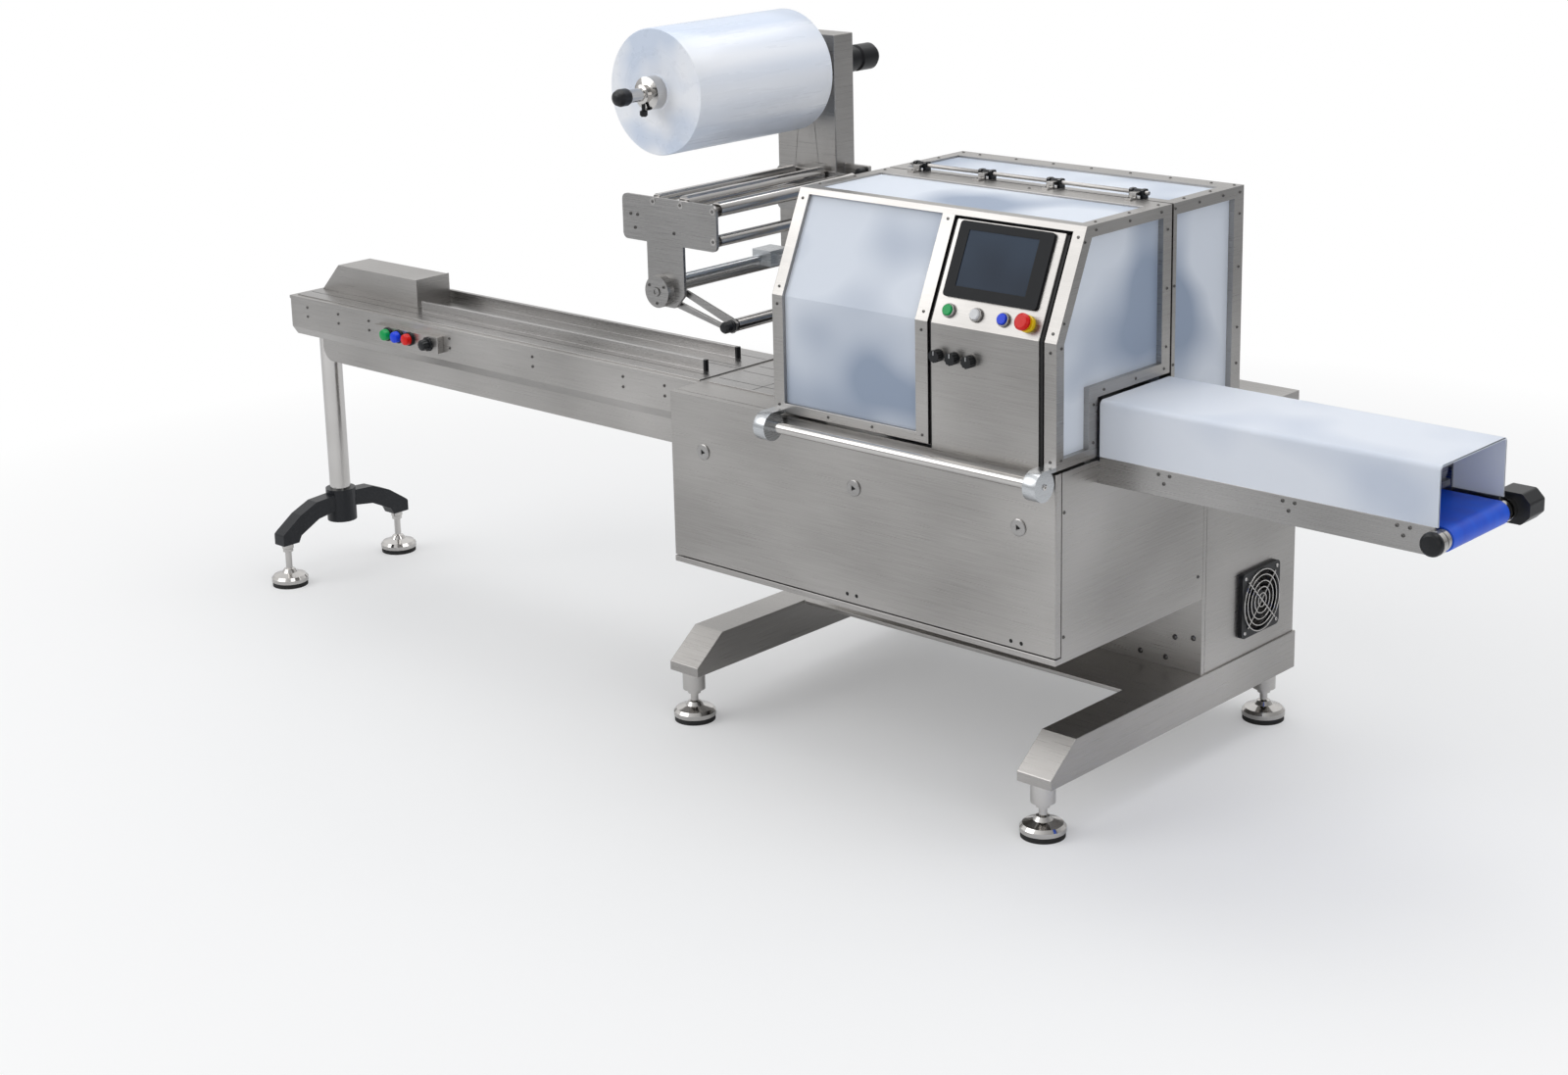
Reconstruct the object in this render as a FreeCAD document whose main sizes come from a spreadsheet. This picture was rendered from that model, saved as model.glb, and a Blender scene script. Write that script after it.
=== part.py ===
import FreeCAD, Part
import os
import re
import Sketcher

# Horizontal flow wrapper. Millimetres, +Z up, product runs along +X, the operator stands at -Y.
# Places are counted from the floor under the front right foot. shiftX and shiftY then move
# every sub-part, so that the model's origin lies on the floor under the middle of the machine.

vector = FreeCAD.Vector
doc = FreeCAD.newDocument("FlowWrapper")

# ---------------------------------------------------------------- sizes
# alias, value, what it is
sizes = (
    ("shiftX", 993, "datum foot to middle of length"),
    ("shiftY", -437, "datum foot to middle of depth"),
    # base
    ("footSpanX", 1146, "between feet along the machine"),
    ("footSpanY", 949, "between feet across the machine"),
    ("beamSide", 100, "square tube of the cross beams"),
    ("beamTop", 236, "top of the cross beams"),
    ("beamFront", -36, "front end of the cross beams"),
    ("beamRear", 1013, "rear end of the cross beams"),
    ("toeTop", 161, "top of the blunt beam toe"),
    ("toeBack", 61, "back of the sloped beam toe"),
    ("padTall", 14, "rubber under a foot"),
    ("padRadius", 54, "rubber under a foot"),
    ("plateThick", 10, "base plate"),
    ("plateFront", 385, "front edge of the base plate"),
    # cabinets
    ("cabLeft", -1184, "left side of the cabinet"),
    ("cabRight", 45, "right side of the cabinet"),
    ("cabFront", -15, "front of the cabinet"),
    ("skin", 20, "depth of the folded front panel"),
    ("seam", 4, "dark seam round a panel"),
    ("trayLow", 436, "underside of the cabinet"),
    ("cabLow", 451, "lower edge of the front panel"),
    ("deck", 895, "working deck"),
    ("wallFront", 585, "front of the main frame plate"),
    ("wallRear", 600, "rear of the main frame plate"),
    ("deckUnder", 880, "underside of the deck plate"),
    ("deckRear", 745, "rear edge of the deck plate"),
    ("earLeft", -1330, "left end of the deck plate ear"),
    ("rearFace", 1006, "rear of the electrical cabinet"),
    ("coverThick", 4, "rear cover sheet"),
    ("lockHeight", 751, "axis of the panel locks"),
    ("lockRadius", 21, "panel lock rim"),
    ("lockProud", 4, "lock rim stands proud"),
    ("keyRadius", 9, "triangular key"),
    # fan
    ("fanY", 833, "fan axis"),
    ("fanZ", 371, "fan axis"),
    ("fanHalf", 86, "half of the fan frame side"),
    ("fanThick", 12, "fan frame stands proud"),
    ("fanBore", 78, "opening of the fan frame"),
    ("fanDeep", 40, "well in the cabinet wall behind the fan"),
    # hood
    ("hoodLeft", -817, "left side of the hood"),
    ("hoodBase", 903, "lower edge of the guard"),
    ("knee", 1198, "where the front starts to lean"),
    ("leanRun", 0.45, "run for each rise of the leaning front"),
    ("kneeRatio", 0.2145, "tangent of half the lean angle"),
    ("hoodTop", 1447, "top of the hood"),
    ("hoodRear", 729, "rear of the hood"),
    ("post", 34, "width of the hood posts"),
    ("barDeep", 28, "depth of the hood bars"),
    ("thinBar", 15, "height of the upper guard bars"),
    ("midLeft", -364, "left side of the middle guard post"),
    ("midRight", -327, "right side of the middle guard post"),
    ("guardEnd", 428, "rear edge of the moving guard"),
    ("rearStart", 434, "front edge of the fixed rear hood"),
    ("hingeBar", 362, "front edge of the hinge bar"),
    ("hatchFront", 142, "front of the product opening"),
    ("hatchTop", 1044, "top of the product opening"),
    ("pane", 5, "thickness of the frosted panes"),
    ("paneSet", 10, "panes sit this far inside the frame"),
    ("hingeY", 448, "guard hinge axis"),
    ("hingeZ", 1460, "guard hinge axis"),
    ("hingePin", 5, "radius of the guard hinge rod"),
    # console
    ("conLeft", -316, "left side of the console"),
    ("conRight", -5, "right side of the console"),
    ("conTop", 1426, "top of the console"),
    ("conDeep", 120, "depth of the console"),
    ("buttonZ", 1229, "row of push buttons"),
    ("knobZ", 1124, "row of rotary knobs"),
    ("screenLow", 1258, "lower edge of the screen bezel"),
    ("screenLeft", -299, "left edge of the screen bezel"),
    ("screenWide", 269, "screen bezel"),
    ("screenTall", 181, "screen bezel, along the slope"),
    # handle
    ("handleY", -58.5, "axis of the handle bar"),
    ("handleZ", 877, "axis of the handle bar"),
    ("handleRadius", 14, "handle bar"),
    ("handleBlock", 36, "radius of the end blocks"),
    # infeed
    ("inLeft", -2918, "left end of the infeed"),
    ("inFront", 89, "front of the infeed"),
    ("inRear", 425, "rear of the infeed"),
    ("inMiddle", 257, "middle of the infeed"),
    ("lipLow", 885, "lower edge of the top lip"),
    ("sideLow", 798, "where the side folds inwards"),
    ("channelLow", 772, "underside of the channel"),
    ("trayLeft", -2825, "left end of the lower tray"),
    ("trayZ", 698, "underside of the lower tray"),
    ("bed", 898, "top of the bed plates"),
    ("railTop", 928, "top of the guide rails"),
    ("columnX", -2890, "round column"),
    ("columnY", 205, "round column"),
    ("columnRadius", 32, "round column"),
    ("hubLow", 160, "underside of the cast hub"),
    ("hubTop", 262, "top of the cast hub"),
    ("legSpan", 215, "hub to foot axis"),
    ("legWide", 46, "width of a cast leg"),
    # film reel and rollers
    ("towerLeft", -1317, "left side of the reel column"),
    ("towerRight", -1110, "right side of the reel column"),
    ("towerFront", 560, "front of the reel column"),
    ("towerDeep", 75, "depth of the reel column"),
    ("towerTop", 1748, "top of the reel column"),
    ("reelX", -1213, "reel axis"),
    ("reelZ", 1659, "reel axis"),
    ("reelRadius", 160, "film roll"),
    ("coreRadius", 38, "film core"),
    ("reelFront", 0, "front end of the film roll"),
    ("reelRear", 490, "rear end of the film roll"),
    ("shaftRadius", 17, "mandrel"),
    ("fit", 0.08, "radial clearance of a running fit"),
    ("frameFront", 16, "front of the roller plate"),
    ("frameThick", 8, "roller plates"),
    ("frameLeft", -1365, "roller plate"),
    ("frameRight", -1030, "roller plate"),
    ("frameLow", 1268, "roller plate"),
    ("frameHigh", 1386, "roller plate"),
    ("pinRadius", 6, "dead shafts of the rollers"),
    ("dancerX", -1236, "dancer pivot"),
    ("dancerZ", 1144, "dancer pivot"),
    ("dancerEndX", -1009, "dancer roller axis"),
    ("dancerEndZ", 1079, "dancer roller axis"),
    # discharge
    ("outFront", 142, "front side plate"),
    ("outRear", 428, "rear side plate"),
    ("outEnd", 900, "end of the side plates"),
    ("coverEnd", 907, "outer end of the tunnel cover"),
    ("outLow", 840, "lower edge of the side plates"),
    ("outTop", 904, "upper edge of the side plates"),
    ("outThick", 6, "side plates"),
    ("noseX", 906, "end roller axis"),
    ("noseZ", 873, "end roller axis"),
    ("noseRadius", 25, "end roller"),
    ("driveX", 85, "inner roller axis"),
    ("beltThick", 2.5, "belt"),
    ("beltFront", 165, "front edge of the belt"),
    ("beltRear", 405, "rear edge of the belt"),
    ("coverTop", 1038, "top of the tunnel cover"),
    ("coverStart", 51, "inner end of the tunnel cover"),
    ("coverBend", 12, "bend radius of the tunnel cover"),
)
sheet = doc.addObject("Spreadsheet::Sheet", "Sizes")
for line, (alias, value, note) in enumerate(sizes, 1):
    sheet.set(f"A{line}", note)
    sheet.set(f"B{line}", str(value))
    sheet.setAlias(f"B{line}", alias)
aliases = {alias for alias, value, note in sizes}
doc.recompute()


# ---------------------------------------------------------------- helpers
def sized(rule):
    """The rule with every alias read from the sheet."""
    return re.sub(r"[A-Za-z]\w*", lambda m: "Sizes." + m[0] if m[0] in aliases else m[0], str(rule))


def bind(thing, **rules):
    for name, rule in rules.items():
        thing.setExpression(name, sized(rule))


ways = {
    "up": vector(0, 0, 1),
    "down": vector(0, 0, -1),
    "right": vector(1, 0, 0),
    "left": vector(-1, 0, 0),
    "back": vector(0, 1, 0),
    "front": vector(0, -1, 0),
    "out": vector(0, -1, 0.45),  # square to the leaning face
}


def put(thing, x, y, z, way="up"):
    """Places a thing, its own Z axis turned to a way."""
    turn = FreeCAD.Rotation(vector(0, 0, 1), ways[way])
    thing.Placement = FreeCAD.Placement(vector(), turn)
    for axis, rule in (("x", f"shiftX + ({x})"), ("y", f"shiftY + ({y})"), ("z", z)):
        thing.setExpression(f"Placement.Base.{axis}", sized(rule))
    return thing


def block(name, xs, ys, zs):
    """A box between two rules on each axis."""
    box = doc.addObject("Part::Box", name)
    for side, (low, high) in zip(("Length", "Width", "Height"), (xs, ys, zs)):
        bind(box, **{side: f"({high}) - ({low})"})
    return put(box, xs[0], ys[0], zs[0])


def rod(name, way, at, radius, length):
    bar = doc.addObject("Part::Cylinder", name)
    bind(bar, Radius=radius, Height=length)
    return put(bar, *at, way)


def join(kind, name, parts):
    whole = doc.addObject(kind, name)
    if kind == "Part::Compound":
        whole.Links = parts
    else:
        whole.Shapes = parts
    return whole


def fuse(name, *parts):
    return join("Part::MultiFuse", name, list(parts))


def gather(name, *parts):
    """Solids that don't touch, kept together."""
    return join("Part::Compound", name, list(parts))


def cut(name, base, *tools):
    for count, tool in enumerate(tools):
        cutter = doc.addObject("Part::Cut", name if count == len(tools) - 1 else f"{name}Step{count}")
        cutter.Base = base
        cutter.Tool = tool
        base = cutter
    return base


def new_body(name):
    body = doc.addObject("PartDesign::Body", name)
    return put(body, 0, 0, 0)


def new_sketch(body, name, plane, offset=0):
    """A sketch on one of the body's origin planes. YZ faces +X, XZ faces -Y, XY faces +Z."""
    sketch = body.newObject("Sketcher::SketchObject", name)
    role = f"{plane}_Plane"
    origin_plane = next(item for item in body.Origin.OriginFeatures if item.Role == role)
    sketch.AttachmentSupport = [(origin_plane, "")]
    sketch.MapMode = "FlatFace"
    sketch.setExpression("AttachmentOffset.Base.z", sized(offset))
    return sketch


def pin_point(sketch, item, end, u, v):
    """Holds one point of the sketch at two rules from its origin."""
    for kind, rule in (("DistanceX", u), ("DistanceY", v)):
        number = sketch.addConstraint(Sketcher.Constraint(kind, -1, 1, item, end, 1.0))
        sketch.setExpression(f"Constraints[{number}]", sized(rule))


def outline(sketch, points):
    """A closed outline with straight sides through the points."""
    first = sketch.GeometryCount
    count = len(points)
    start = [vector(1, 0, 0), vector(0, 1, 0)]
    corners = [start[0] * (100 - n) + start[1] * (n * n + 1) for n in range(count)]
    for n in range(count):
        sketch.addGeometry(Part.LineSegment(corners[n], corners[(n + 1) % count]))
    for n in range(count):
        after = first + (n + 1) % count
        sketch.addConstraint(Sketcher.Constraint("Coincident", first + n, 2, after, 1))
    for n, (u, v) in enumerate(points):
        pin_point(sketch, first + n, 1, u, v)


def ring(sketch, u, v, radius):
    item = sketch.addGeometry(Part.Circle(vector(1, 1, 0), vector(0, 0, 1), 5))
    number = sketch.addConstraint(Sketcher.Constraint("Radius", item, 5))
    sketch.setExpression(f"Constraints[{number}]", sized(radius))
    pin_point(sketch, item, 3, u, v)


def slab(name, plane, points, low, high, holes=(), windows=()):
    """A body padded square to a plane, from low to high, with round holes and cut-outs."""
    body = new_body(name)
    sketch = new_sketch(body, name + "Sketch", plane, f"-({high})" if plane == "XZ" else low)
    outline(sketch, points)
    for window in windows:
        outline(sketch, window)
    for hole in holes:
        ring(sketch, *hole)
    pad = body.newObject("PartDesign::Pad", name + "Pad")
    pad.Profile = sketch
    bind(pad, Length=f"({high}) - ({low})")
    return body


def soften(body, radius, chosen, kind="PartDesign::Fillet"):
    """Rounds the chosen edges of a body's last feature."""
    doc.recompute()
    last = body.Tip
    names = [f"Edge{n}" for n, edge in enumerate(last.Shape.Edges, 1) if chosen(edge)]
    rounding = body.newObject(kind, f"{body.Name}Round{len(body.Group)}")
    rounding.Base = (last, names)
    bind(rounding, **{"Radius" if kind.endswith("Fillet") else "Size": radius})
    return body


def runs_along(edge, way):
    """True for a straight edge along a way."""
    if len(edge.Vertexes) != 2:
        return False
    span = edge.Vertexes[1].Point - edge.Vertexes[0].Point
    return span.cross(ways[way]).Length < 0.01 * span.Length


def turned(name, way, at, points):
    """A body turned about its own Z axis. Points are radius and height."""
    body = new_body(name)
    sketch = new_sketch(body, name + "Sketch", "XZ")
    outline(sketch, points)
    turn = body.newObject("PartDesign::Revolution", name + "Turn")
    turn.Profile = sketch
    turn.ReferenceAxis = (sketch, ["V_Axis"])
    turn.Angle = 360
    return put(body, *at, way)


def slope_y(inset, height):
    """Place of the leaning face at a height, set in by an inset."""
    return f"cabFront + {inset} + ({height} - knee + {inset} * kneeRatio) * leanRun"


subparts = {}


def keep(label, thing):
    thing.Label = label
    subparts[label] = thing
    return thing


# ---------------------------------------------------------------- base and feet
footPlaces = [(x, y) for x in ("0", "-footSpanX") for y in ("0", "footSpanY")]
legPlaces = [("columnX", f"columnY {sign} legSpan") for sign in "-+"]

beams = []
for side, x in (("Right", "0"), ("Left", "-footSpanX")):
    beams.append(slab(
        f"Beam{side}", "YZ",
        [("beamFront", "beamTop - beamSide"), ("beamRear", "beamTop - beamSide"), ("beamRear", "beamTop"),
         ("toeBack", "beamTop"), ("beamFront", "toeTop")],
        f"{x} - beamSide / 2", f"{x} + beamSide / 2"))
basePlate = block(
    "BasePlate", ("-footSpanX + beamSide / 2", "-beamSide / 2"), ("plateFront", "rearFace"),
    ("beamTop - plateThick", "beamTop"))

cupProfile = [
    (0, "padTall"), ("padRadius + 2", "padTall"), ("padRadius + 2", "padTall + 11"),
    ("padRadius - 5", "padTall + 19"), (24, "padTall + 27"), (17, "padTall + 37"), (10, "padTall + 40"),
]
feet = []
for number, (x, y) in enumerate(footPlaces):
    feet.append(turned(f"Foot{number}", "up", (x, y, 0), cupProfile + [
        (10, 74), (17, 74), (17, 86), (30, 86), (30, "beamTop - beamSide"), (0, "beamTop - beamSide")]))
for number, (x, y) in enumerate(legPlaces):
    feet.append(turned(f"LegFoot{number}", "up", (x, y, 0), cupProfile + [
        (10, 118), (18, 118), (18, 132), (0, 132)]))
keep("levelling_feet", gather("LevellingFeet", *feet))
pads = []
for number, (x, y) in enumerate(footPlaces + legPlaces):
    pads.append(rod(f"Pad{number}", "up", (x, y, 0), "padRadius", "padTall"))
keep("foot_pads", gather("FootPads", *pads))

# ---------------------------------------------------------------- cabinets
housing = fuse(
    "CabinetHousing",
    block("CabinetTray", ("cabLeft", "cabRight"), ("cabFront", "wallFront"), ("trayLow", "cabLow")),
    block("CabinetNeck", ("cabLeft + 8", "cabRight - 8"), ("cabFront + skin", "cabFront + skin + seam"),
          ("cabLow", "deck - 8")),
    block("CabinetBox", ("cabLeft", "cabRight"), ("cabFront + skin + seam", "wallFront"),
          ("cabLow", "deck")))
keep("front_cabinet", housing)
frontPanel = slab(
    "FrontPanel", "XZ",
    [("cabLeft", "cabLow + seam"), ("cabRight", "cabLow + seam"), ("cabRight", "deck"), ("cabLeft", "deck")],
    "cabFront", "cabFront + skin")
soften(frontPanel, 3, lambda edge: runs_along(edge, "up") and edge.CenterOfMass.y < -10)
keep("front_panel", frontPanel)
framePlate = slab(
    "FramePlate", "XZ",
    [("cabLeft", "beamTop"), ("cabRight", "beamTop"), ("cabRight", "deckUnder"), ("earLeft", "deckUnder"),
     ("earLeft", "deckUnder - 90"), ("cabLeft", "deckUnder - 240")],
    "wallFront", "wallRear")
deckPlate = block("DeckPlate", ("earLeft", "cabRight"), ("wallFront", "deckRear"), ("deckUnder", "deck"))
keep("machine_frame", fuse("MachineFrame", basePlate, *beams, framePlate, deckPlate))
electrical = block("ElectricalBox", ("cabLeft", "cabRight"), ("wallRear", "rearFace"), ("beamTop", "deckUnder"))
fanWell = rod("FanWell", "left", ("cabRight", "fanY", "fanZ"), "fanBore", "fanDeep")
fanMotor = rod("FanMotor", "right", ("cabRight - fanDeep", "fanY", "fanZ"), 24, "fanDeep - 30.5")
rearCover = block(
    "RearCover", ("cabLeft + 12", "cabRight - 12"), ("rearFace", "rearFace + coverThick"),
    ("beamTop + 12", "deckUnder - 12"))
keep("electrical_cabinet", fuse(
    "ElectricalCabinet", cut("ElectricalBody", electrical, fanWell), fanMotor, rearCover))

locks = []
lockPlaces = [(x, "cabFront", "lockHeight", "front") for x in (-1069, -561, -61)]
lockPlaces += [(x, "rearFace + coverThick", "lockHeight", "back") for x in (-1069, -61)]
for number, (x, y, z, way) in enumerate(lockPlaces):
    rim = turned(f"LockRim{number}", way, (x, y, z), [
        (0, 0), ("lockRadius", 0), ("lockRadius", "lockProud - 1.5"), ("lockRadius - 2", "lockProud"),
        (0, "lockProud")])
    key = doc.addObject("Part::Prism", f"Key{number}")
    key.Polygon = 3
    bind(key, Circumradius="keyRadius", Height="lockProud")
    sign = "-" if way == "front" else "+"
    put(key, x, f"{y} {sign} 1.5", z, way)
    locks.append(cut(f"Lock{number}", rim, key))
keep("panel_locks", gather("PanelLocks", *locks))

# ---------------------------------------------------------------- fan
fanFrame = new_body("FanFrame")
fanSketch = new_sketch(fanFrame, "FanFrameSketch", "YZ", "cabRight")
outline(fanSketch, [(f"fanY {a} fanHalf", f"fanZ {b} fanHalf") for a, b in ("--", "+-", "++", "-+")])
ring(fanSketch, "fanY", "fanZ", "fanBore")
fanPad = fanFrame.newObject("PartDesign::Pad", "FanFramePad")
fanPad.Profile = fanSketch
bind(fanPad, Length="fanThick")
soften(fanFrame, 14, lambda edge: runs_along(edge, "right"))
keep("fan_frame", fanFrame)

wires = []
for number, radius in enumerate((18, 34, 50, 66, 80)):
    wire = doc.addObject("Part::Torus", f"FanRing{number}")
    bind(wire, Radius1=radius, Radius2=1.6)
    wires.append(put(wire, "cabRight + fanThick + 3.5", "fanY", "fanZ", "right"))
for number, (sy, sz) in enumerate(((1, 1), (1, -1))):
    reach = 62
    spoke = doc.addObject("Part::Cylinder", f"FanSpoke{number}")
    bind(spoke, Radius=2, Height=f"{2 * reach} * 1.4142")
    put(spoke, "cabRight + fanThick + 2", f"fanY - {reach * sy}", f"fanZ - {reach * sz}")
    spoke.Placement = FreeCAD.Placement(
        spoke.Placement.Base, FreeCAD.Rotation(vector(0, 0, 1), vector(0, sy, sz)))
    wires.append(spoke)
keep("fan_grille", fuse("FanGrille", *wires))

hub = rod("FanHub", "right", ("cabRight - 30", "fanY", "fanZ"), 26, 32)
blades = [hub]
for number in range(5):
    blade = doc.addObject("Part::Box", f"FanBlade{number}")
    bind(blade, Length=3, Width=46, Height=34)
    around = FreeCAD.Rotation(vector(1, 0, 0), 72 * number)
    start = around.multVec(vector(0, 22, -17))
    put(blade, f"cabRight - 26 + {start.x}", f"fanY + {start.y}", f"fanZ + {start.z}")
    pitch = FreeCAD.Rotation(vector(0, 1, 0), 35)
    blade.Placement = FreeCAD.Placement(blade.Placement.Base, around * pitch)
    blades.append(blade)
keep("fan_rotor", fuse("FanRotor", *blades))

# ---------------------------------------------------------------- guard, the moving front of the hood
frontTop = slope_y(0, "hoodTop")
barUnder = "hoodTop - thinBar"
endOuter = [
    ("cabFront", "hoodBase"), ("hatchFront", "hoodBase"), ("hatchFront", "hatchTop"),
    ("guardEnd", "hatchTop"), ("guardEnd", "hoodTop"), (frontTop, "hoodTop"), ("cabFront", "knee"),
]
endInner = [
    ("cabFront + barDeep", "hoodBase + 24"), ("hatchFront - post", "hoodBase + 24"),
    ("hatchFront - post", "hatchTop + barDeep"), ("guardEnd - post", "hatchTop + barDeep"),
    ("guardEnd - post", "hoodTop - barDeep"), (slope_y("barDeep", "hoodTop - barDeep"), "hoodTop - barDeep"),
    ("cabFront + barDeep", "knee - barDeep * kneeRatio"),
]


def bent_strip(name, outside, inside, base, top, low, high):
    """A strip that follows the front of the hood: upright, then leaning back above the knee."""
    return slab(name, "YZ", [
        (f"cabFront + {outside}", base), (f"cabFront + {inside}", base),
        (f"cabFront + {inside}", f"knee - {inside} * kneeRatio"), (slope_y(inside, top), top),
        (slope_y(outside, top), top), (f"cabFront + {outside}", f"knee - {outside} * kneeRatio"),
    ], low, high)


innerLeft = "hoodLeft + post"
innerRight = "cabRight - post"
guardFrame = fuse(
    "GuardFrame",
    slab("GuardRightEnd", "YZ", endOuter, innerRight, "cabRight", windows=[endInner]),
    slab("GuardLeftEnd", "YZ", endOuter, "hoodLeft", innerLeft, windows=[endInner]),
    bent_strip("GuardMiddlePost", 0, "barDeep", "hoodBase", barUnder, "midLeft", "midRight"),
    slab("GuardTopBar", "YZ", [
        (slope_y(0, barUnder), barUnder), (f"{frontTop} + barDeep", barUnder),
        (f"{frontTop} + barDeep", "hoodTop"), (frontTop, "hoodTop")], innerLeft, innerRight),
    block("GuardHingeBar", (innerLeft, innerRight), ("hingeBar", "guardEnd"), (barUnder, "hoodTop")),
    block("GuardSill", (innerLeft, "midLeft"), ("cabFront", "cabFront + barDeep"),
          ("hoodBase", "hoodBase + 24")))

paneSide = "14"
guardPanes = gather(
    "GuardPanes",
    bent_strip("GuardFrontPane", "paneSet", "(paneSet + pane)", "hoodBase + 24", barUnder, innerLeft, "midLeft"),
    block("GuardTopPane", (innerLeft, innerRight), (f"{frontTop} + barDeep", "hingeBar"),
          ("hoodTop - paneSet", "hoodTop - paneSet + pane")),
    slab("GuardRightPane", "YZ", endInner, f"{innerRight} + {paneSide}", f"{innerRight} + {paneSide} + pane"),
    slab("GuardLeftPane", "YZ", endInner, f"hoodLeft + {paneSide}", f"hoodLeft + {paneSide} + pane"))
keep("guard_panes", guardPanes)

hingePlaces = (-722, -514, -305, -64)
knuckles = []
lugs = []
for number, x in enumerate(hingePlaces):
    strap = fuse(
        f"KnuckleStrap{number}",
        block(f"KnuckleFoot{number}", (f"{x} - 10", f"{x} + 10"), ("guardEnd - 26", "guardEnd"),
              ("hoodTop", "hoodTop + 4")),
        block(f"KnuckleRise{number}", (f"{x} - 10", f"{x} + 10"), ("guardEnd - 4", "guardEnd"),
              ("hoodTop", "hingeZ + 3")),
        block(f"KnuckleArm{number}", (f"{x} - 10", f"{x} + 10"), ("guardEnd - 4", "hingeY"),
              ("hingeZ - 3", "hingeZ + 3")),
        rod(f"KnuckleBarrel{number}", "right", (f"{x} - 10", "hingeY", "hingeZ"), "hingePin + 3", 20))
    bore = rod(f"KnuckleBore{number}", "right", (f"{x} - 11", "hingeY", "hingeZ"), "hingePin + fit", 22)
    knuckles.append(cut(f"Knuckle{number}", strap, bore))
    for side in (-1, 1):
        low = f"{x} + {side * 16} - 4"
        lugs.append(block(f"Lug{number}{'L' if side < 0 else 'R'}", (low, f"{low} + 8"),
                          ("hingeY - 9", "hingeY + 9"), ("hoodTop", "hingeZ + 8")))
keep("guard_frame", fuse("GuardWhole", guardFrame, *knuckles))
hingeRod = rod("HingeRodBar", "right", ("-722 - 30", "hingeY", "hingeZ"), "hingePin", "722 - 64 + 60")

handle = rod("HandleBar", "right", ("hoodLeft + 36", "handleY", "handleZ"), "handleRadius",
             "cabRight - hoodLeft - 72")
keep("guard_handle", handle)
blocks = []
for side, x in (("Left", "hoodLeft"), ("Right", "cabRight - 36")):
    blocks.append(fuse(
        f"HandleBlock{side}",
        rod(f"HandleDisc{side}", "right", (x, "handleY", "handleZ"), "handleBlock", 36),
        block(f"HandleNeck{side}", (x, f"{x} + 36"), ("handleY", "cabFront"),
              ("hoodBase", "handleZ + handleBlock"))))
keep("handle_blocks", gather("HandleBlocks", *blocks))

# ---------------------------------------------------------------- fixed rear of the hood
rearInner = [
    ("rearStart + 14", "deck + 30"), ("hoodRear - 40", "deck + 30"),
    ("hoodRear - 40", "hoodTop - barDeep"), ("rearStart + 14", "hoodTop - barDeep"),
]
rearOuter = [("rearStart", "deck"), ("hoodRear", "deck"), ("hoodRear", "hoodTop"), ("rearStart", "hoodTop")]
rearMiddle = "(hoodLeft + cabRight) / 2"
keep("rear_hood_frame", fuse(
    "RearHoodFrame",
    slab("RearRightEnd", "YZ", rearOuter, innerRight, "cabRight", windows=[rearInner]),
    slab("RearLeftEnd", "YZ", rearOuter, "hoodLeft", innerLeft, windows=[rearInner]),
    block("RearFrontBar", (innerLeft, innerRight), ("rearStart", "rearStart + barDeep"),
          ("hoodTop - barDeep", "hoodTop")),
    block("RearTopBar", (innerLeft, innerRight), ("hoodRear - 60", "hoodRear"),
          ("hoodTop - barDeep", "hoodTop")),
    block("RearSill", (innerLeft, innerRight), ("hoodRear - barDeep", "hoodRear"), ("deck", "deck + 30")),
    hingeRod, *lugs,
    block("RearPost", (f"{rearMiddle} - post / 2", f"{rearMiddle} + post / 2"),
          ("hoodRear - barDeep", "hoodRear"), ("deck + 30", "hoodTop - barDeep"))))
rearPanes = [
    slab("RearRightPane", "YZ", rearInner, f"{innerRight} + {paneSide}", f"{innerRight} + {paneSide} + pane"),
    slab("RearLeftPane", "YZ", rearInner, f"hoodLeft + {paneSide}", f"hoodLeft + {paneSide} + pane"),
    block("RearTopPane", (innerLeft, innerRight), ("rearStart + barDeep", "hoodRear - 60"),
          ("hoodTop - paneSet", "hoodTop - paneSet + pane")),
]
for side, low, high in (("Left", innerLeft, f"{rearMiddle} - post / 2"),
                        ("Right", f"{rearMiddle} + post / 2", innerRight)):
    rearPanes.append(block(f"BackPane{side}", (low, high), ("hoodRear - 15", "hoodRear - 15 + pane"),
                           ("deck + 30", "hoodTop - barDeep")))
keep("rear_hood_panes", gather("RearHoodPanes", *rearPanes))

# ---------------------------------------------------------------- console
keep("control_console", bent_strip("ControlConsole", 0, "conDeep", "deck", "conTop", "conLeft", "conRight"))
keep("console_seals", gather(
    "ConsoleSeals",
    bent_strip("SealLeft", 4, 60, "deck", "conTop - 4", "conLeft - 6", "conLeft"),
    bent_strip("SealRight", 4, 60, "deck", "conTop - 4", "conRight", "conRight + 9")))

onFace = (slope_y(0, "screenLow"), "screenLow", "out")
bezel = new_body("ScreenBezel")
bezelSketch = new_sketch(bezel, "BezelSketch", "XY")
outline(bezelSketch, [(0, 0), ("screenWide", 0), ("screenWide", "screenTall"), (0, "screenTall")])
bezelPad = bezel.newObject("PartDesign::Pad", "BezelPad")
bezelPad.Profile = bezelSketch
bind(bezelPad, Length=7)
soften(bezel, 9, lambda edge: runs_along(edge, "up"))
windowSketch = new_sketch(bezel, "WindowSketch", "XY", 7)
displayOutline = [(30, 27), ("screenWide - 38", 27), ("screenWide - 38", "screenTall - 20"),
                  (30, "screenTall - 20")]
outline(windowSketch, displayOutline)
window = bezel.newObject("PartDesign::Pocket", "BezelWindow")
window.Profile = windowSketch
bind(window, Length=3)
put(bezel, "screenLeft", *onFace)
keep("screen_bezel", bezel)
display = new_body("ScreenDisplay")
displaySketch = new_sketch(display, "DisplaySketch", "XY", 4)
outline(displaySketch, displayOutline)
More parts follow.
